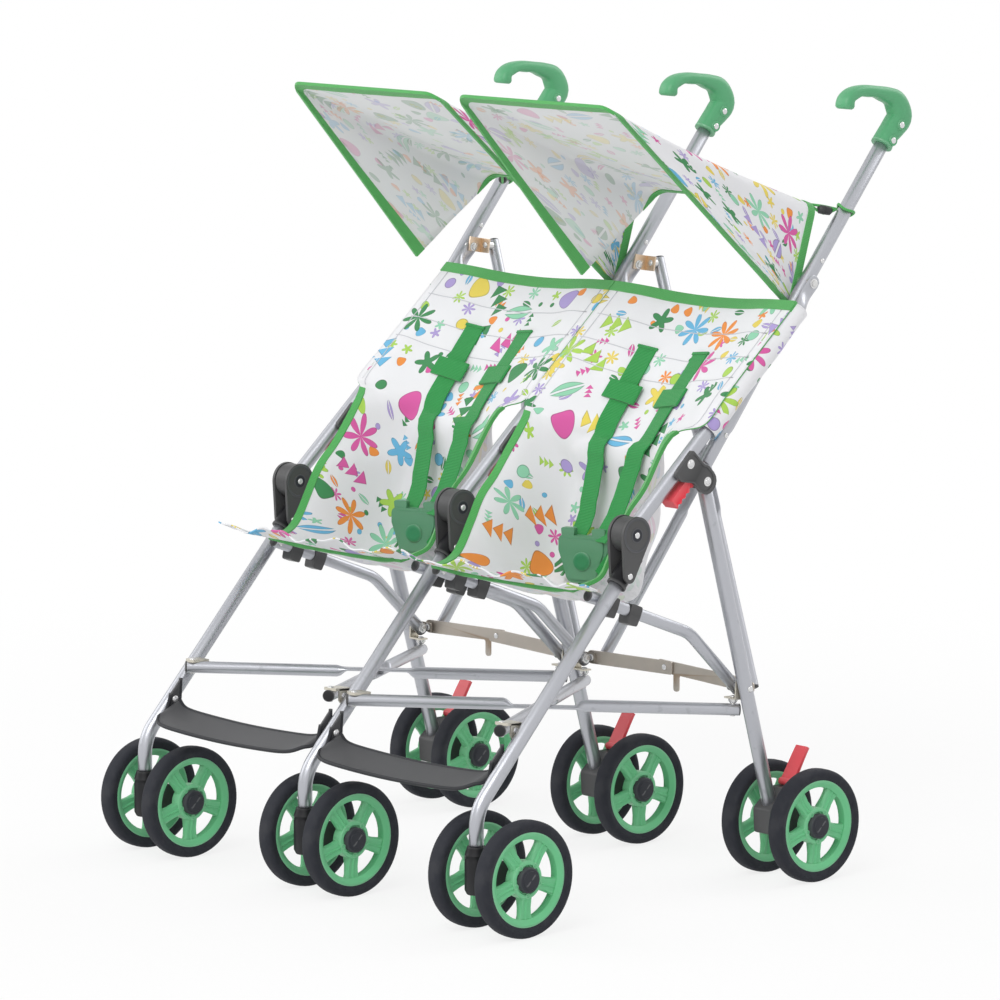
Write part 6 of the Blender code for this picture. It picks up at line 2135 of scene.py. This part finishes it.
@dataclass
class SeatCloth(SeatPart):
    """Sling seat: one printed sheet with bound edges, stitching, folds, a front flap and clips."""

    pan_gap: float = 0.0253
    hem_gap: float = 0.0310
    cover: float = 0.0147
    wrap: float = 0.008
    seam: float = 0.0006
    bracket_top: float = 0.150
    tube_start: float = 0.175
    top_setback: float = 0.045
    deep: float = 0.048
    shallow: float = 0.010
    thick: float = 0.0018
    stitch: float = 0.0006
    sleeve: float = 0.0142
    clip_half: float = 0.0095
    clip_reaches: tuple[float, ...] = (0.030, 0.072)
    columns: int = 56
    steps: int = 6

    def __post_init__(self) -> None:
        """Work out the lines of the seat."""
        self.rows = self._rows()

    def _rows(self) -> list[tuple[float, ...]]:
        """The lines of the seat from hem to top.

        Returns:
            Edge (y, z), middle (y, z), both side limits and steepness of each line.
        """
        front = LAY.rail_front
        pan = ((-0.024, 0.010, -0.022, 0.006, self.hem_gap), (-0.001, 0.0145, 0.036, -0.012, self.hem_gap),
               (0.020, 0.024, 0.080, -0.026, self.pan_gap), (0.034, 0.045, 0.120, -0.030, self.pan_gap),
               (0.046, 0.067, 0.141, -0.014, self.pan_gap), (0.064, 0.098, 0.160, 0.040, self.pan_gap),
               (0.095, 0.131, 0.179, 0.102, self.pan_gap))
        rows = []
        for a, b, c, d, gap in pan:
            low, high = (gap, LAY.spacing - gap) if self.side is Side.RIGHT else (gap - LAY.spacing, -gap)
            rows.append((front[0] + a, front[1] + b, front[0] + c, front[1] + d, low, high, 0.22))
        top = LAY.back_length - self.top_setback
        ahead = -across(LAY.back_way)
        start = self.tube_start + 0.05
        reaches = (self.bracket_top, self.tube_start, start, start + (top - start) * 0.3,
                   start + (top - start) * 0.6, top)
        for reach in reaches:
            edge = LAY.knuckle + reach * LAY.back_way + self.cover * ahead
            share = (reach - self.bracket_top) / (top - self.bracket_top)
            middle = edge - (self.deep + (self.shallow - self.deep) * share) * ahead
            tube_x = LAY.leaning(reach)
            if self.side is Side.RIGHT:
                low, high = tube_x + self.seam, tube_x + LAY.spacing + self.wrap
            else:
                low, high = tube_x - LAY.spacing - self.wrap, tube_x - self.seam
            steep = 0.46
            if reach == self.bracket_top:
                low = self.pan_gap if self.side is Side.RIGHT else self.pan_gap - LAY.spacing
                high = LAY.spacing - self.pan_gap if self.side is Side.RIGHT else -self.pan_gap
                steep = 0.22
            rows.append((*edge, *middle, low, high, steep))
        return rows

    def bare(self, height: float, share: float) -> Vector:
        """A point of the cloth without its folds.

        Args:
            height: Line number from 0 at the hem to 12 at the top.
            share: Share of the width.

        Returns:
            The point.
        """
        index = min(max(int(height), 0), len(self.rows) - 2)
        t = height - index
        start, end = self.rows[index], self.rows[index + 1]
        before, after = self.rows[max(index - 1, 0)], self.rows[min(index + 2, len(self.rows) - 1)]
        row = [curve(*values, t) for values in zip(before, start, end, after)]
        run = min(share, 1 - share) / row[6]
        drop = 1.0 if run >= 1 else 0.5 - 0.5 * math.cos(math.pi * max(run, 0.0))
        y = row[0] + (row[2] - row[0]) * drop
        z = row[1] + (row[3] - row[1]) * drop
        return Vector((row[4] + (row[5] - row[4]) * share, y, z))

    def normal(self, height: float, share: float) -> Vector:
        """The direction out of the cloth, towards whoever sits there.

        Args:
            height: Line number from 0 at the hem to 12 at the top.
            share: Share of the width.

        Returns:
            The direction.
        """
        step = 0.02
        up = self.bare(min(height + step, 12.0), share) - self.bare(max(height - step, 0.0), share)
        over = self.bare(height, min(share + step, 1.0)) - self.bare(height, max(share - step, 0.0))
        return over.cross(up).normalized()

    def point(self, height: float, share: float, lift: float = 0.0) -> Vector:
        """A point of the cloth with its folds, or over it.

        Args:
            height: Line number from 0 at the hem to 12 at the top.
            share: Share of the width.
            lift: Distance off the cloth towards whoever sits there.

        Returns:
            The point.
        """
        edge = min(share, 1 - share)
        mirror = share if self.side is Side.RIGHT else 1 - share
        hold = min(1.0, edge / 0.10) * min(1.0, height / 1.5) * min(1.0, (12.0 - height) / 0.8)
        fold = 0.0011 * math.sin(9.0 * share * math.pi + height * 1.3) * hold
        corner = bell(height, 6.2, 1.6) * bell(edge, 0.16, 0.12)
        fold += 0.0030 * corner * math.sin(height * 4.2 + 17.0 * mirror)
        waist = bell(height, 3.6, 1.3) * hold
        fold += 0.0022 * waist * math.sin(share * 26.0 + 1.7 * math.sin(height * 2.0))
        upper = bell(height, 9.2, 1.6) * hold
        fold += 0.0018 * upper * math.sin(share * 19.0 - height * 1.9)
        return self.bare(height, share) + self.normal(height, share) * (fold + lift)

    def build(self) -> None:
        """Make the sheet, its bindings, stitching, sleeve, flap and clips."""
        label = self.label
        rows = []
        for step in range(12 * self.steps + 1):
            height = step / self.steps
            rows.append([self.point(height, column / self.columns) for column in range(self.columns + 1)])
        form = Form().sheet(rows, (0.31 * self.sign, 0.07))
        width, length, area = form.measures(rows, 4)
        cloth = self.add("seat_sling", form, CLOTH, SEAT_BODY, f"seat_{label}")
        thicken(cloth, self.thick, UNDERSIDE, BINDING)
        extras = [self._binding(), self._stitching(), self._sleeve(), self._flap()]
        min(area, 0.999 * width * length)
        for piece in (cloth, *extras):
            if not piece.name.startswith("seat_sleeve"):
                crumple(piece)
        self._clips()

    def _edge(self, form: Form, stations: Sequence[tuple[float, float]], inward: tuple[float, float],
              half: float = 0.0060, thick: float = 0.0050) -> None:
        """Add a folded binding along an edge.

        Args:
            form: The form that it joins.
            stations: Heights and shares along the edge.
            inward: Step in height and share that leads into the cloth.
            half: Half the binding's width.
            thick: Its thickness, round the cloth.
        """
        bands = []
        for height, share in stations:
            here = self.point(height, share)
            way = (self.point(min(height + inward[0], 12.0), min(share + inward[1], 1.0)) - here).normalized()
            bands.append((here + way * (half - 0.001), way * half))
        form.strip(bands, thick)

    def _binding(self) -> bpy.types.Object:
        """Make the green bindings of the top edge, the hem and the sides.

        Returns:
            The piece.
        """
        form = Form()
        shares = [index / 48 for index in range(49)]
        self._edge(form, [(11.999, share) for share in shares], (-0.15, 0.0), 0.0080)
        self._edge(form, [(0.0, share) for share in shares], (0.15, 0.0))
        heights = [index * 0.2 for index in range(37)]
        for share, inward in ((0.0, 0.03), (1.0, -0.03)):
            self._edge(form, [(height, share) for height in heights], (0.0, inward), 0.0055)
        return self.add("seat_binding", form, BINDING, SEAT_BODY)

    def _stitching(self) -> bpy.types.Object:
        """Make the raised stitch lines across and down the seat back.

        Returns:
            The piece.
        """
        form = Form()
        lines = [[(height, 0.03 + 0.94 * index / 40) for index in range(41)] for height in (11.15, 10.35, 9.6)]
        lines += [[(7.6 + 4.2 * index / 30, share) for index in range(31)] for share in (0.045, 0.955)]
        for line in lines:
            stations = []
            for index, (height, share) in enumerate(line):
                here = self.point(height, share, self.thick / 2 + 0.0002)
                nearby = line[index + 1] if index + 1 < len(line) else line[index - 1]
                along = (self.point(*nearby) - self.point(height, share)).normalized()
                stations.append((here, self.normal(height, share).cross(along).normalized() * self.stitch))
            form.strip(stations, self.stitch)
        return self.add("seat_stitching", form, STITCH, SEAT_BODY)

    def _sleeve(self) -> bpy.types.Object:
        """Make the sleeve that laps round the seat-back tube at the seat's outer edge.

        Returns:
            The piece.
        """
        outer = self.sign * LAY.spacing
        form = Form()
        rows = []
        for step in range(25):
            share = step / 24
            reach = self.tube_start + (LAY.back_length - self.top_setback - self.tube_start) * share
            axis = LAY.back_point(outer, reach)
            ahead, down = -side_axis(across(LAY.back_way)), X * self.sign
            row = []
            for index in range(13):
                turn = math.radians(100.0 - 250.0 * index / 12)
                radius = self.sleeve + 0.0007 * math.sin(11 * share + index)
                row.append(axis + down * radius * math.cos(turn) + ahead * radius * math.sin(turn))
            rows.append(row)
        sleeve = self.add("seat_sleeve", form.sheet(rows, (0.11, 0.02)), CLOTH, f"upper_{self.label}")
        thicken(sleeve, 0.0012, UNDERSIDE, CLOTH)
        return sleeve

    def _flap(self) -> bpy.types.Object:
        """Make the loose front edge of the pan, which spreads in front of the legs.

        Returns:
            The piece.
        """
        sign = self.sign
        low, high = self.hem_gap, LAY.spacing - self.hem_gap
        front = LAY.rail_front
        rows = []
        for step in range(9):
            share = step / 8
            spread = eased(min(1.0, share / 0.35))
            near = low * (1 - spread) + 0.0008 * spread
            far = high * (1 - spread) + (LAY.spacing + 0.031) * spread
            row = []
            for column in range(61):
                over = column / 60
                x = near + (far - near) * over
                wave = 0.0045 * math.sin(over * 19.0 + 1.0) + 0.0025 * math.sin(over * 43.0)
                y = front[0] - 0.0235 - 0.036 * share - 0.003 * share * math.sin(over * 15.0)
                z = front[1] + 0.0120 + 0.0145 * share + wave * share
                z -= 0.0035 * math.sin(math.pi * over) * (1 - share)
                row.append(Vector((sign * x, y, z)))
            rows.append(row)
        flap = self.add("seat_flap", Form().sheet(rows, (0.52 * sign, 0.33)), CLOTH, SEAT_BODY)
        thicken(flap, self.thick, CLOTH, CLOTH)
        return flap

    def _clips(self) -> None:
        """Make the black clips that hold the hem on the rails."""
        way = (LAY.rail_bend - LAY.rail_front).normalized()
        outline = rounded(((-0.008, -0.0175, 0.003), (0.008, -0.0175, 0.003), (0.010, -0.004, 0.002),
                           (0.010, 0.009, 0.003), (-0.010, 0.009, 0.003), (-0.010, -0.004, 0.002)))
        for frame, side in ((Frame.MIDDLE, self.sign), (self.outer_frame, -self.sign)):
            form = Form()
            x = LAY.frame_x(frame) + side * LAY.rail_offset
            for reach in self.clip_reaches:
                form.plate(outline, at(x - self.clip_half, LAY.rail_front + way * reach), side_axis(way),
                           -side_axis(across(way)), X * 2 * self.clip_half)
            self.piece(f"hem_clips_{self.label}_{frame.label}", form, BLACK, f"rear_leg_{frame.label}", bevel=0.0012)


@dataclass
class Canopy(SeatPart):
    """Folding hood: one continuous printed sheet over a front bow, bound in green."""

    front_top: Vector = field(default_factory=lambda: Vector((-0.130, 1.027)))
    rear_top: Vector = field(default_factory=lambda: Vector((0.236, 0.883)))
    front_foot: Vector = field(default_factory=lambda: Vector((0.092, 0.7790)))
    front_corner: float = 0.018
    rear_corner: float = 0.014
    sag: float = 0.006
    thick: float = 0.0020
    cut_share: float = 0.82
    stations: int = 26
    cord: float = 0.0018
    cord_gap: float = 0.0022

    @property
    def body(self) -> str:
        """The hood's body, which has the name of its node."""
        return f"canopy_{self.label}"

    def _limits(self) -> tuple[float, float]:
        """Where the side panels stand.

        Returns:
            The lower x and the higher x.
        """
        reach = LAY.back_length - LAY.canopy_reach
        low = LAY.leaning(reach) + LAY.tube + 2 * LAY.gap + 0.001
        high = LAY.spacing - LAY.tube - 2 * LAY.gap - 0.001
        return (low, high) if self.side is Side.RIGHT else (low - LAY.spacing, high - LAY.spacing)

    def arch(self, share: float) -> Ring:
        """Points of the hood over one station, from its low edge over the top and down.

        Args:
            share: 0 at the front bow, 1 at the rear.

        Returns:
            The points.
        """
        low, high = self._limits()
        top = self.front_top.lerp(self.rear_top, share)
        between = math.sin(math.pi * share)
        top.y -= self.sag * between
        corner = self.front_corner + (self.rear_corner - self.front_corner) * share
        cut_foot = self.front_foot.lerp(self.rear_top, self.cut_share * share)
        fan_foot = LAY.canopy_pivot + Vector((0.022 * share - 0.010, -0.004))
        sides = []
        for x, foot, inward in ((low, cut_foot, 1.0), (high, fan_foot, -1.0)):
            way, tall = (top - foot).normalized(), (top - foot).length
            straight = tall - corner
            run = []
            for index in range(14):
                reach = straight * index / 14
                bow = 0.0045 * math.sin(math.pi * index / 14) + 0.0010 * math.sin(reach * 60.0 + share * 9.0)
                run.append(at(x + inward * bow * between, foot + way * reach))
            for index in range(7):
                turn = math.radians(15.0 * index)
                run.append(at(x + inward * corner * (1 - math.cos(turn)),
                              foot + way * (straight + corner * math.sin(turn))))
            sides.append(run)
        left, right = sides
        roof = []
        for index in range(1, 22):
            over = index / 22
            dip = 0.008 * math.sin(math.pi * over) * between + 0.0012 * math.sin(over * 30.0 + share * 7.0) * between
            roof.append(left[-1].lerp(right[-1], over) - Z * dip)
        return left + roof + right[::-1]

    def build(self) -> None:
        """Make the sheet, its bindings, and the tie with its toggle and loop."""
        label = self.label
        rows = [self.arch(index / self.stations) for index in range(self.stations + 1)]
        form = Form().sheet(rows, (0.05 + 0.2 * self.sign, 0.4))
        width, length, area = form.measures(rows, 3)
        hood = self.add("hood", form, CLOTH, self.body, self.body)
        self._face_out(hood)
        thicken(hood, self.thick, LINING)
        binding = self._binding(rows)
        tie, toggle = self._tie(rows)
        min(area, 0.999 * width * length)
        for piece in (hood, binding, tie, toggle):
            crumple(piece)

    def _face_out(self, hood: bpy.types.Object) -> None:
        """Turn the sheet's faces outwards, so that its lining comes inside.

        Args:
            hood: The sheet.
        """
        top = max(hood.data.polygons, key=lambda face: face.center.z)
        if top.normal.z < 0:
            hood.data.flip_normals()

    def _binding(self, rows: Sequence[Ring]) -> bpy.types.Object:
        """Make the green bindings round the hood's edges.

        Args:
            rows: The sheet's rows.

        Returns:
            The piece.
        """
        form = Form()
        for row, inner, half in ((rows[0], rows[1], 0.0085), (rows[-1], rows[-2], 0.0060)):
            bands = []
            for here, there in zip(row, inner):
                way = (there - here).normalized() if (there - here).length > 1e-5 else Y
                bands.append((here + way * (half - 0.001), way * half))
            form.strip(bands, 0.0044)
        return self.add("hood_binding", form, BINDING, self.body)

    def _tie(self, rows: Sequence[Ring]) -> tuple[bpy.types.Object, bpy.types.Object]:
        """Make the elastic tie from the hood's rear corner to the handle tube, its loop and its toggle.

        Args:
            rows: The sheet's rows.

        Returns:
            The tie and the toggle.
        """
        way_up = side_axis(LAY.handle_way)
        corner = rows[-1][-20] if self.side is Side.RIGHT else rows[-1][20]
        reach = (corner.z - LAY.leg_pivot[1]) / LAY.handle_way[1] - 0.012
        hold = at(self.sign * LAY.spacing, LAY.leg_pivot + reach * LAY.handle_way)
        first, second = square_to(way_up)
        wrap = LAY.tube + self.cord_gap
        loop = []
        for index in range(19):
            turn = 2 * math.pi * index / 18
            loop.append(hold + (first * math.cos(turn) + second * math.sin(turn)) * wrap
                        + way_up * 0.003 * math.sin(turn * 2))
        way = (hold - corner).normalized()
        end = hold - way * wrap
        self.add("hood_tie_loop", Form().tube(loop, self.cord, way_up, 10), BINDING, f"upper_{self.label}")
        form = Form()
        for lift in (-0.0030, 0.0030):
            line = smooth_path([corner, corner.lerp(end, 0.5) + Z * (lift * 1.6 - 0.004), end], 5)
            form.tube(line, self.cord, Z, 10)
        tie = self.add("hood_tie", form, BINDING, self.body)
        knob = Form().turned(((0.0030, -0.0100), (0.0058, -0.0075), (0.0062, 0.0), (0.0058, 0.0075), (0.0030, 0.0100)),
                             corner.lerp(end, 0.55) - Z * 0.004, way, 18)
        return tie, self.add("hood_toggle", knob, BLACK, self.body)


@dataclass
class Harness(SeatPart):
    """Five-point harness: straps, wraps and a buckle, laid over a seat's cloth."""

    cloth: SeatCloth = field(default_factory=SeatCloth)
    wide: float = 0.031
    thick: float = 0.0020
    place: Vector = field(default_factory=lambda: Vector((-0.032, 0.424)))
    buckle_wide: float = 0.070
    buckle_high: float = 0.062
    buckle_turn: float = 22.0
    buckle_deep: float = 0.016
    lug: float = 0.006

    def build(self) -> None:
        """Make the straps, wraps and buckle."""
        low, high = self.cloth.rows[3][4], self.cloth.rows[3][5]
        front = Vector(((low + high) / 2, *self.place))
        inside = front + Y * self.buckle_deep / 2
        straps, wraps = Form(), Form()
        for hand in BOTH:
            self._shoulder(straps, wraps, hand, inside)
            self._waist(straps, hand, inside)
        half = X * self.wide / 2
        lower = [(self.cloth.point(height, 0.5, 0.004), half) for height in (3.2, 2.8, 2.5)]
        start = inside - Z * (self.buckle_high / 2 - self.lug)
        straps.strip([(start, half), (start.lerp(lower[0][0], 0.6), half), *lower], self.thick)
        pieces = [self.add("harness_straps", straps, STRAP, SEAT_BODY, f"harness_{self.label}"),
                  self.add("harness_wraps", wraps, STRAP, SEAT_BODY, f"harness_{self.label}"),
                  self._buckle(front)]
        for piece in pieces:
            crumple(piece)

    def _band(self, height: float, share: float, wide: float, lift: float) -> tuple[Vector, Vector]:
        """A station of a strap that lies on the cloth.

        Args:
            height: Line number on the cloth.
            share: Share of the cloth's width.
            wide: The strap's width.
            lift: How far it lies off the cloth.

        Returns:
            Its middle and half-width vector.
        """
        slope = self.cloth.bare(height, share + 0.03) - self.cloth.bare(height, share - 0.03)
        return self.cloth.point(height, share, lift), slope.normalized() * wide / 2

    def _shoulder(self, straps: Form, wraps: Form, hand: float, inside: Vector) -> None:
        """Add one shoulder strap and its wrap.

        Args:
            straps: Form of the straps.
            wraps: Form of the wraps.
            hand: Which shoulder, by its direction along x.
            inside: Middle of the buckle.
        """
        line = ((10.6, 0.150), (10.0, 0.145), (9.0, 0.135), (8.0, 0.130), (7.0, 0.125), (6.0, 0.120))
        spots = smooth_path([Vector((height, 0.5 + hand * spread)) for height, spread in line], 5)
        stations = [self._band(*spot, self.wide, 0.0034) for spot in spots]
        corner = inside + Vector((hand * (self.buckle_wide / 2 - 0.014), 0.0, self.buckle_high / 2 - self.lug))
        free = next(index for index, spot in enumerate(spots) if spot[0] < 8.6)
        start, run = stations[free][0], len(stations) - 1 - free
        for index in range(free, len(stations)):
            share = (index - free) / run
            straight = start.lerp(corner, share * 0.72)
            point, half = stations[index]
            shift = (straight - point) * 0.75 * math.sin(math.pi * min(share, 0.5))
            out = self.cloth.normal(*spots[index])
            stations[index] = (point + shift - out * min(shift.dot(out), 0.0), half)
        last = stations[-1][0]
        for share in (0.3, 0.65):
            stations.append((last.lerp(corner, share) + Y * 0.006 * math.sin(math.pi * share), X * self.wide / 2))
        stations.append((corner, X * self.wide / 2))
        straps.strip(stations, self.thick)
        over = [self._band(9.35 - 0.55 * index / 5, 0.5 + hand * 0.137, self.wide * 1.75, 0.0062)
                for index in range(6)]
        wraps.strip(over, 0.0034)
        ends = [self._band(height, 0.5 + hand * spread, self.wide * 1.12, 0.0040)
                for height, spread in ((10.6, 0.150), (10.52, 0.1495))]
        wraps.strip(ends, 0.0030)

    def _waist(self, straps: Form, hand: float, inside: Vector) -> None:
        """Add one waist strap, from the buckle round to the pan's side.

        Args:
            straps: Form of the straps.
            hand: Which side of the buckle, by its direction along x.
            inside: Middle of the buckle.
        """
        tall = side_axis(LAY.back_way) * self.wide / 2
        edge = inside + X * hand * (self.buckle_wide / 2 - self.lug)
        end = self.cloth.point(4.3, 0.5 + hand * 0.19, 0.0072)
        middle = edge.lerp(end, 0.5) - Z * 0.006
        points = smooth_path([edge, middle, end], 4)
        straps.strip([(point, tall) for point in points], self.thick)

    def _buckle(self, front: Vector) -> bpy.types.Object:
        """Make the buckle, with its rim, wings and round button.

        Args:
            front: Middle of its face.

        Returns:
            The piece.
        """
        w, h, d = self.buckle_wide / 2, self.buckle_high / 2, self.buckle_deep
        turn = math.radians(self.buckle_turn)
        over, back = Vector((math.cos(turn), math.sin(turn), 0.0)), Vector((-math.sin(turn), math.cos(turn), 0.0))
        form = Form()
        outline = rounded(((-w * 0.62, -h, 0.010), (w * 0.62, -h, 0.010), (w * 0.86, -h * 0.1, 0.012),
                           (w, h * 0.35, 0.006), (w, h, 0.007), (-w, h, 0.007), (-w, h * 0.35, 0.006),
                           (-w * 0.86, -h * 0.1, 0.012)))
        form.plate(outline, front + back * 0.002, over, Z, back * (d - 0.002))
        inner = [point * 0.86 for point in outline]
        form.plate(inner, front, over, Z, back * 0.004)
        form.turned(((0.0125, -0.003), (0.0125, 0.0012), (0.0112, 0.0022), (0.0060, 0.0016), (0.0010, 0.0014)),
                    front + Z * -0.002, -back, 28)
        for hand in BOTH:
            prong = rounded(((-0.008, 0.0, 0.002), (0.008, 0.0, 0.002), (0.010, 0.016, 0.003), (-0.010, 0.016, 0.003)))
            form.plate(prong, front + over * hand * (w - 0.013) + back * 0.003 + Z * (h - 0.006), over, Z,
                       back * (d - 0.006))
        return self.add("buckle", form, BUCKLE, SEAT_BODY, f"harness_{self.label}", bevel=0.0011)


# Studio

@dataclass(frozen=True)
class Lamp:
    """A soft square lamp that looks at the stroller."""

    name: str
    place: Vector
    size: float
    power: float

    def hang(self) -> None:
        """Put the lamp in the scene."""
        data = bpy.data.lights.new(self.name, "AREA")
        data.size = self.size
        data.energy = self.power
        lamp = bpy.data.objects.new(self.name, data)
        lamp.location = self.place
        lamp.rotation_euler = (Vector((0.0, 0.0, 0.5)) - self.place).to_track_quat("-Z", "Y").to_euler()
        bpy.context.scene.collection.objects.link(lamp)


LAMPS = (Lamp("key", Vector((1.6, -3.4, 3.6)), 2.6, 92.0), Lamp("fill", Vector((-3.4, -2.2, 2.4)), 3.0, 46.0),
         Lamp("back", Vector((0.6, 3.2, 2.8)), 2.4, 40.0))


@dataclass
class Studio:
    """Camera, floor, lamps and background."""

    camera_place: Vector = field(default_factory=lambda: Vector((5.5057, -4.9052, 1.5342)))
    azimuth: float = 48.45
    elevation: float = 8.12
    roll: float = -0.06
    lens: float = 201.87
    world_level: float = 0.62
    floor_radius: float = 40.0

    def build(self) -> None:
        """Make the studio."""
        self._camera()
        self._world()
        self._floor()
        for lamp in LAMPS:
            lamp.hang()

    def _camera(self) -> None:
        """Put the camera where the photograph was taken from."""
        az, el = math.radians(self.azimuth), math.radians(self.elevation)
        toward = Vector((math.sin(az) * math.cos(el), -math.cos(az) * math.cos(el), math.sin(el)))
        right = Matrix.Rotation(math.radians(self.roll), 3, toward) @ Vector((math.cos(az), math.sin(az), 0.0))
        up = toward.cross(right)
        data = bpy.data.cameras.new("camera")
        data.lens = self.lens
        data.sensor_width = 36.0
        data.clip_end = 100.0
        camera = bpy.data.objects.new("camera", data)
        camera.matrix_world = Matrix.Translation(self.camera_place) @ Matrix((right, up, toward)).transposed().to_4x4()
        bpy.context.scene.collection.objects.link(camera)
        bpy.context.scene.camera = camera

    def _world(self) -> None:
        """Light the scene evenly, and show white to the camera."""
        world = bpy.data.worlds.new("studio")
        world.use_nodes = True
        bpy.context.scene.world = world
        nodes = NodeTree(world.node_tree)
        sky = nodes.tree.nodes["Background"]
        nodes.fill(sky.inputs[0], (1.0, 1.0, 1.0))
        nodes.fill(sky.inputs[1], nodes.node("ShaderNodeMapRange", {}, {0: nodes.seen(), 3: self.world_level, 4: 1.0}))

    def _floor(self) -> None:
        """Make the pale floor."""
        turns = [2 * math.pi * index / 64 for index in range(64)]
        outline = [(self.floor_radius * math.cos(turn), self.floor_radius * math.sin(turn)) for turn in turns]
        form = Form().plate(outline, Z * -0.012, X, Y, Z * 0.0118)
        floor = bpy.data.objects.new("floor", form.data("floor", FLOOR))
        bpy.context.scene.collection.objects.link(floor)


def main() -> None:
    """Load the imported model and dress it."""
    logging.basicConfig(level=logging.INFO, format="%(message)s")
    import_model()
    Studio().build()
    groups: list[SubAssembly] = []
    for frame in Frame:
        groups += [BackFrame(frame=frame), Grip(frame=frame), FoldLatch(frame=frame), RearLeg(frame=frame),
                   FrontLeg(frame=frame), Caster(frame=frame)]
    groups.append(WheelSet())
    for side in Side:
        cloth = SeatCloth(side=side)
        groups += [CrossedBars(side=side), Footrest(side=side), cloth, Canopy(side=side),
                   Harness(side=side, cloth=cloth)]
    for group in groups:
        group.build()
        LOG.info("%s: %d pieces", type(group).__name__, len(group.made))
    bpy.context.scene.view_settings.view_transform = "Standard"


if __name__ == "__main__":
    main()
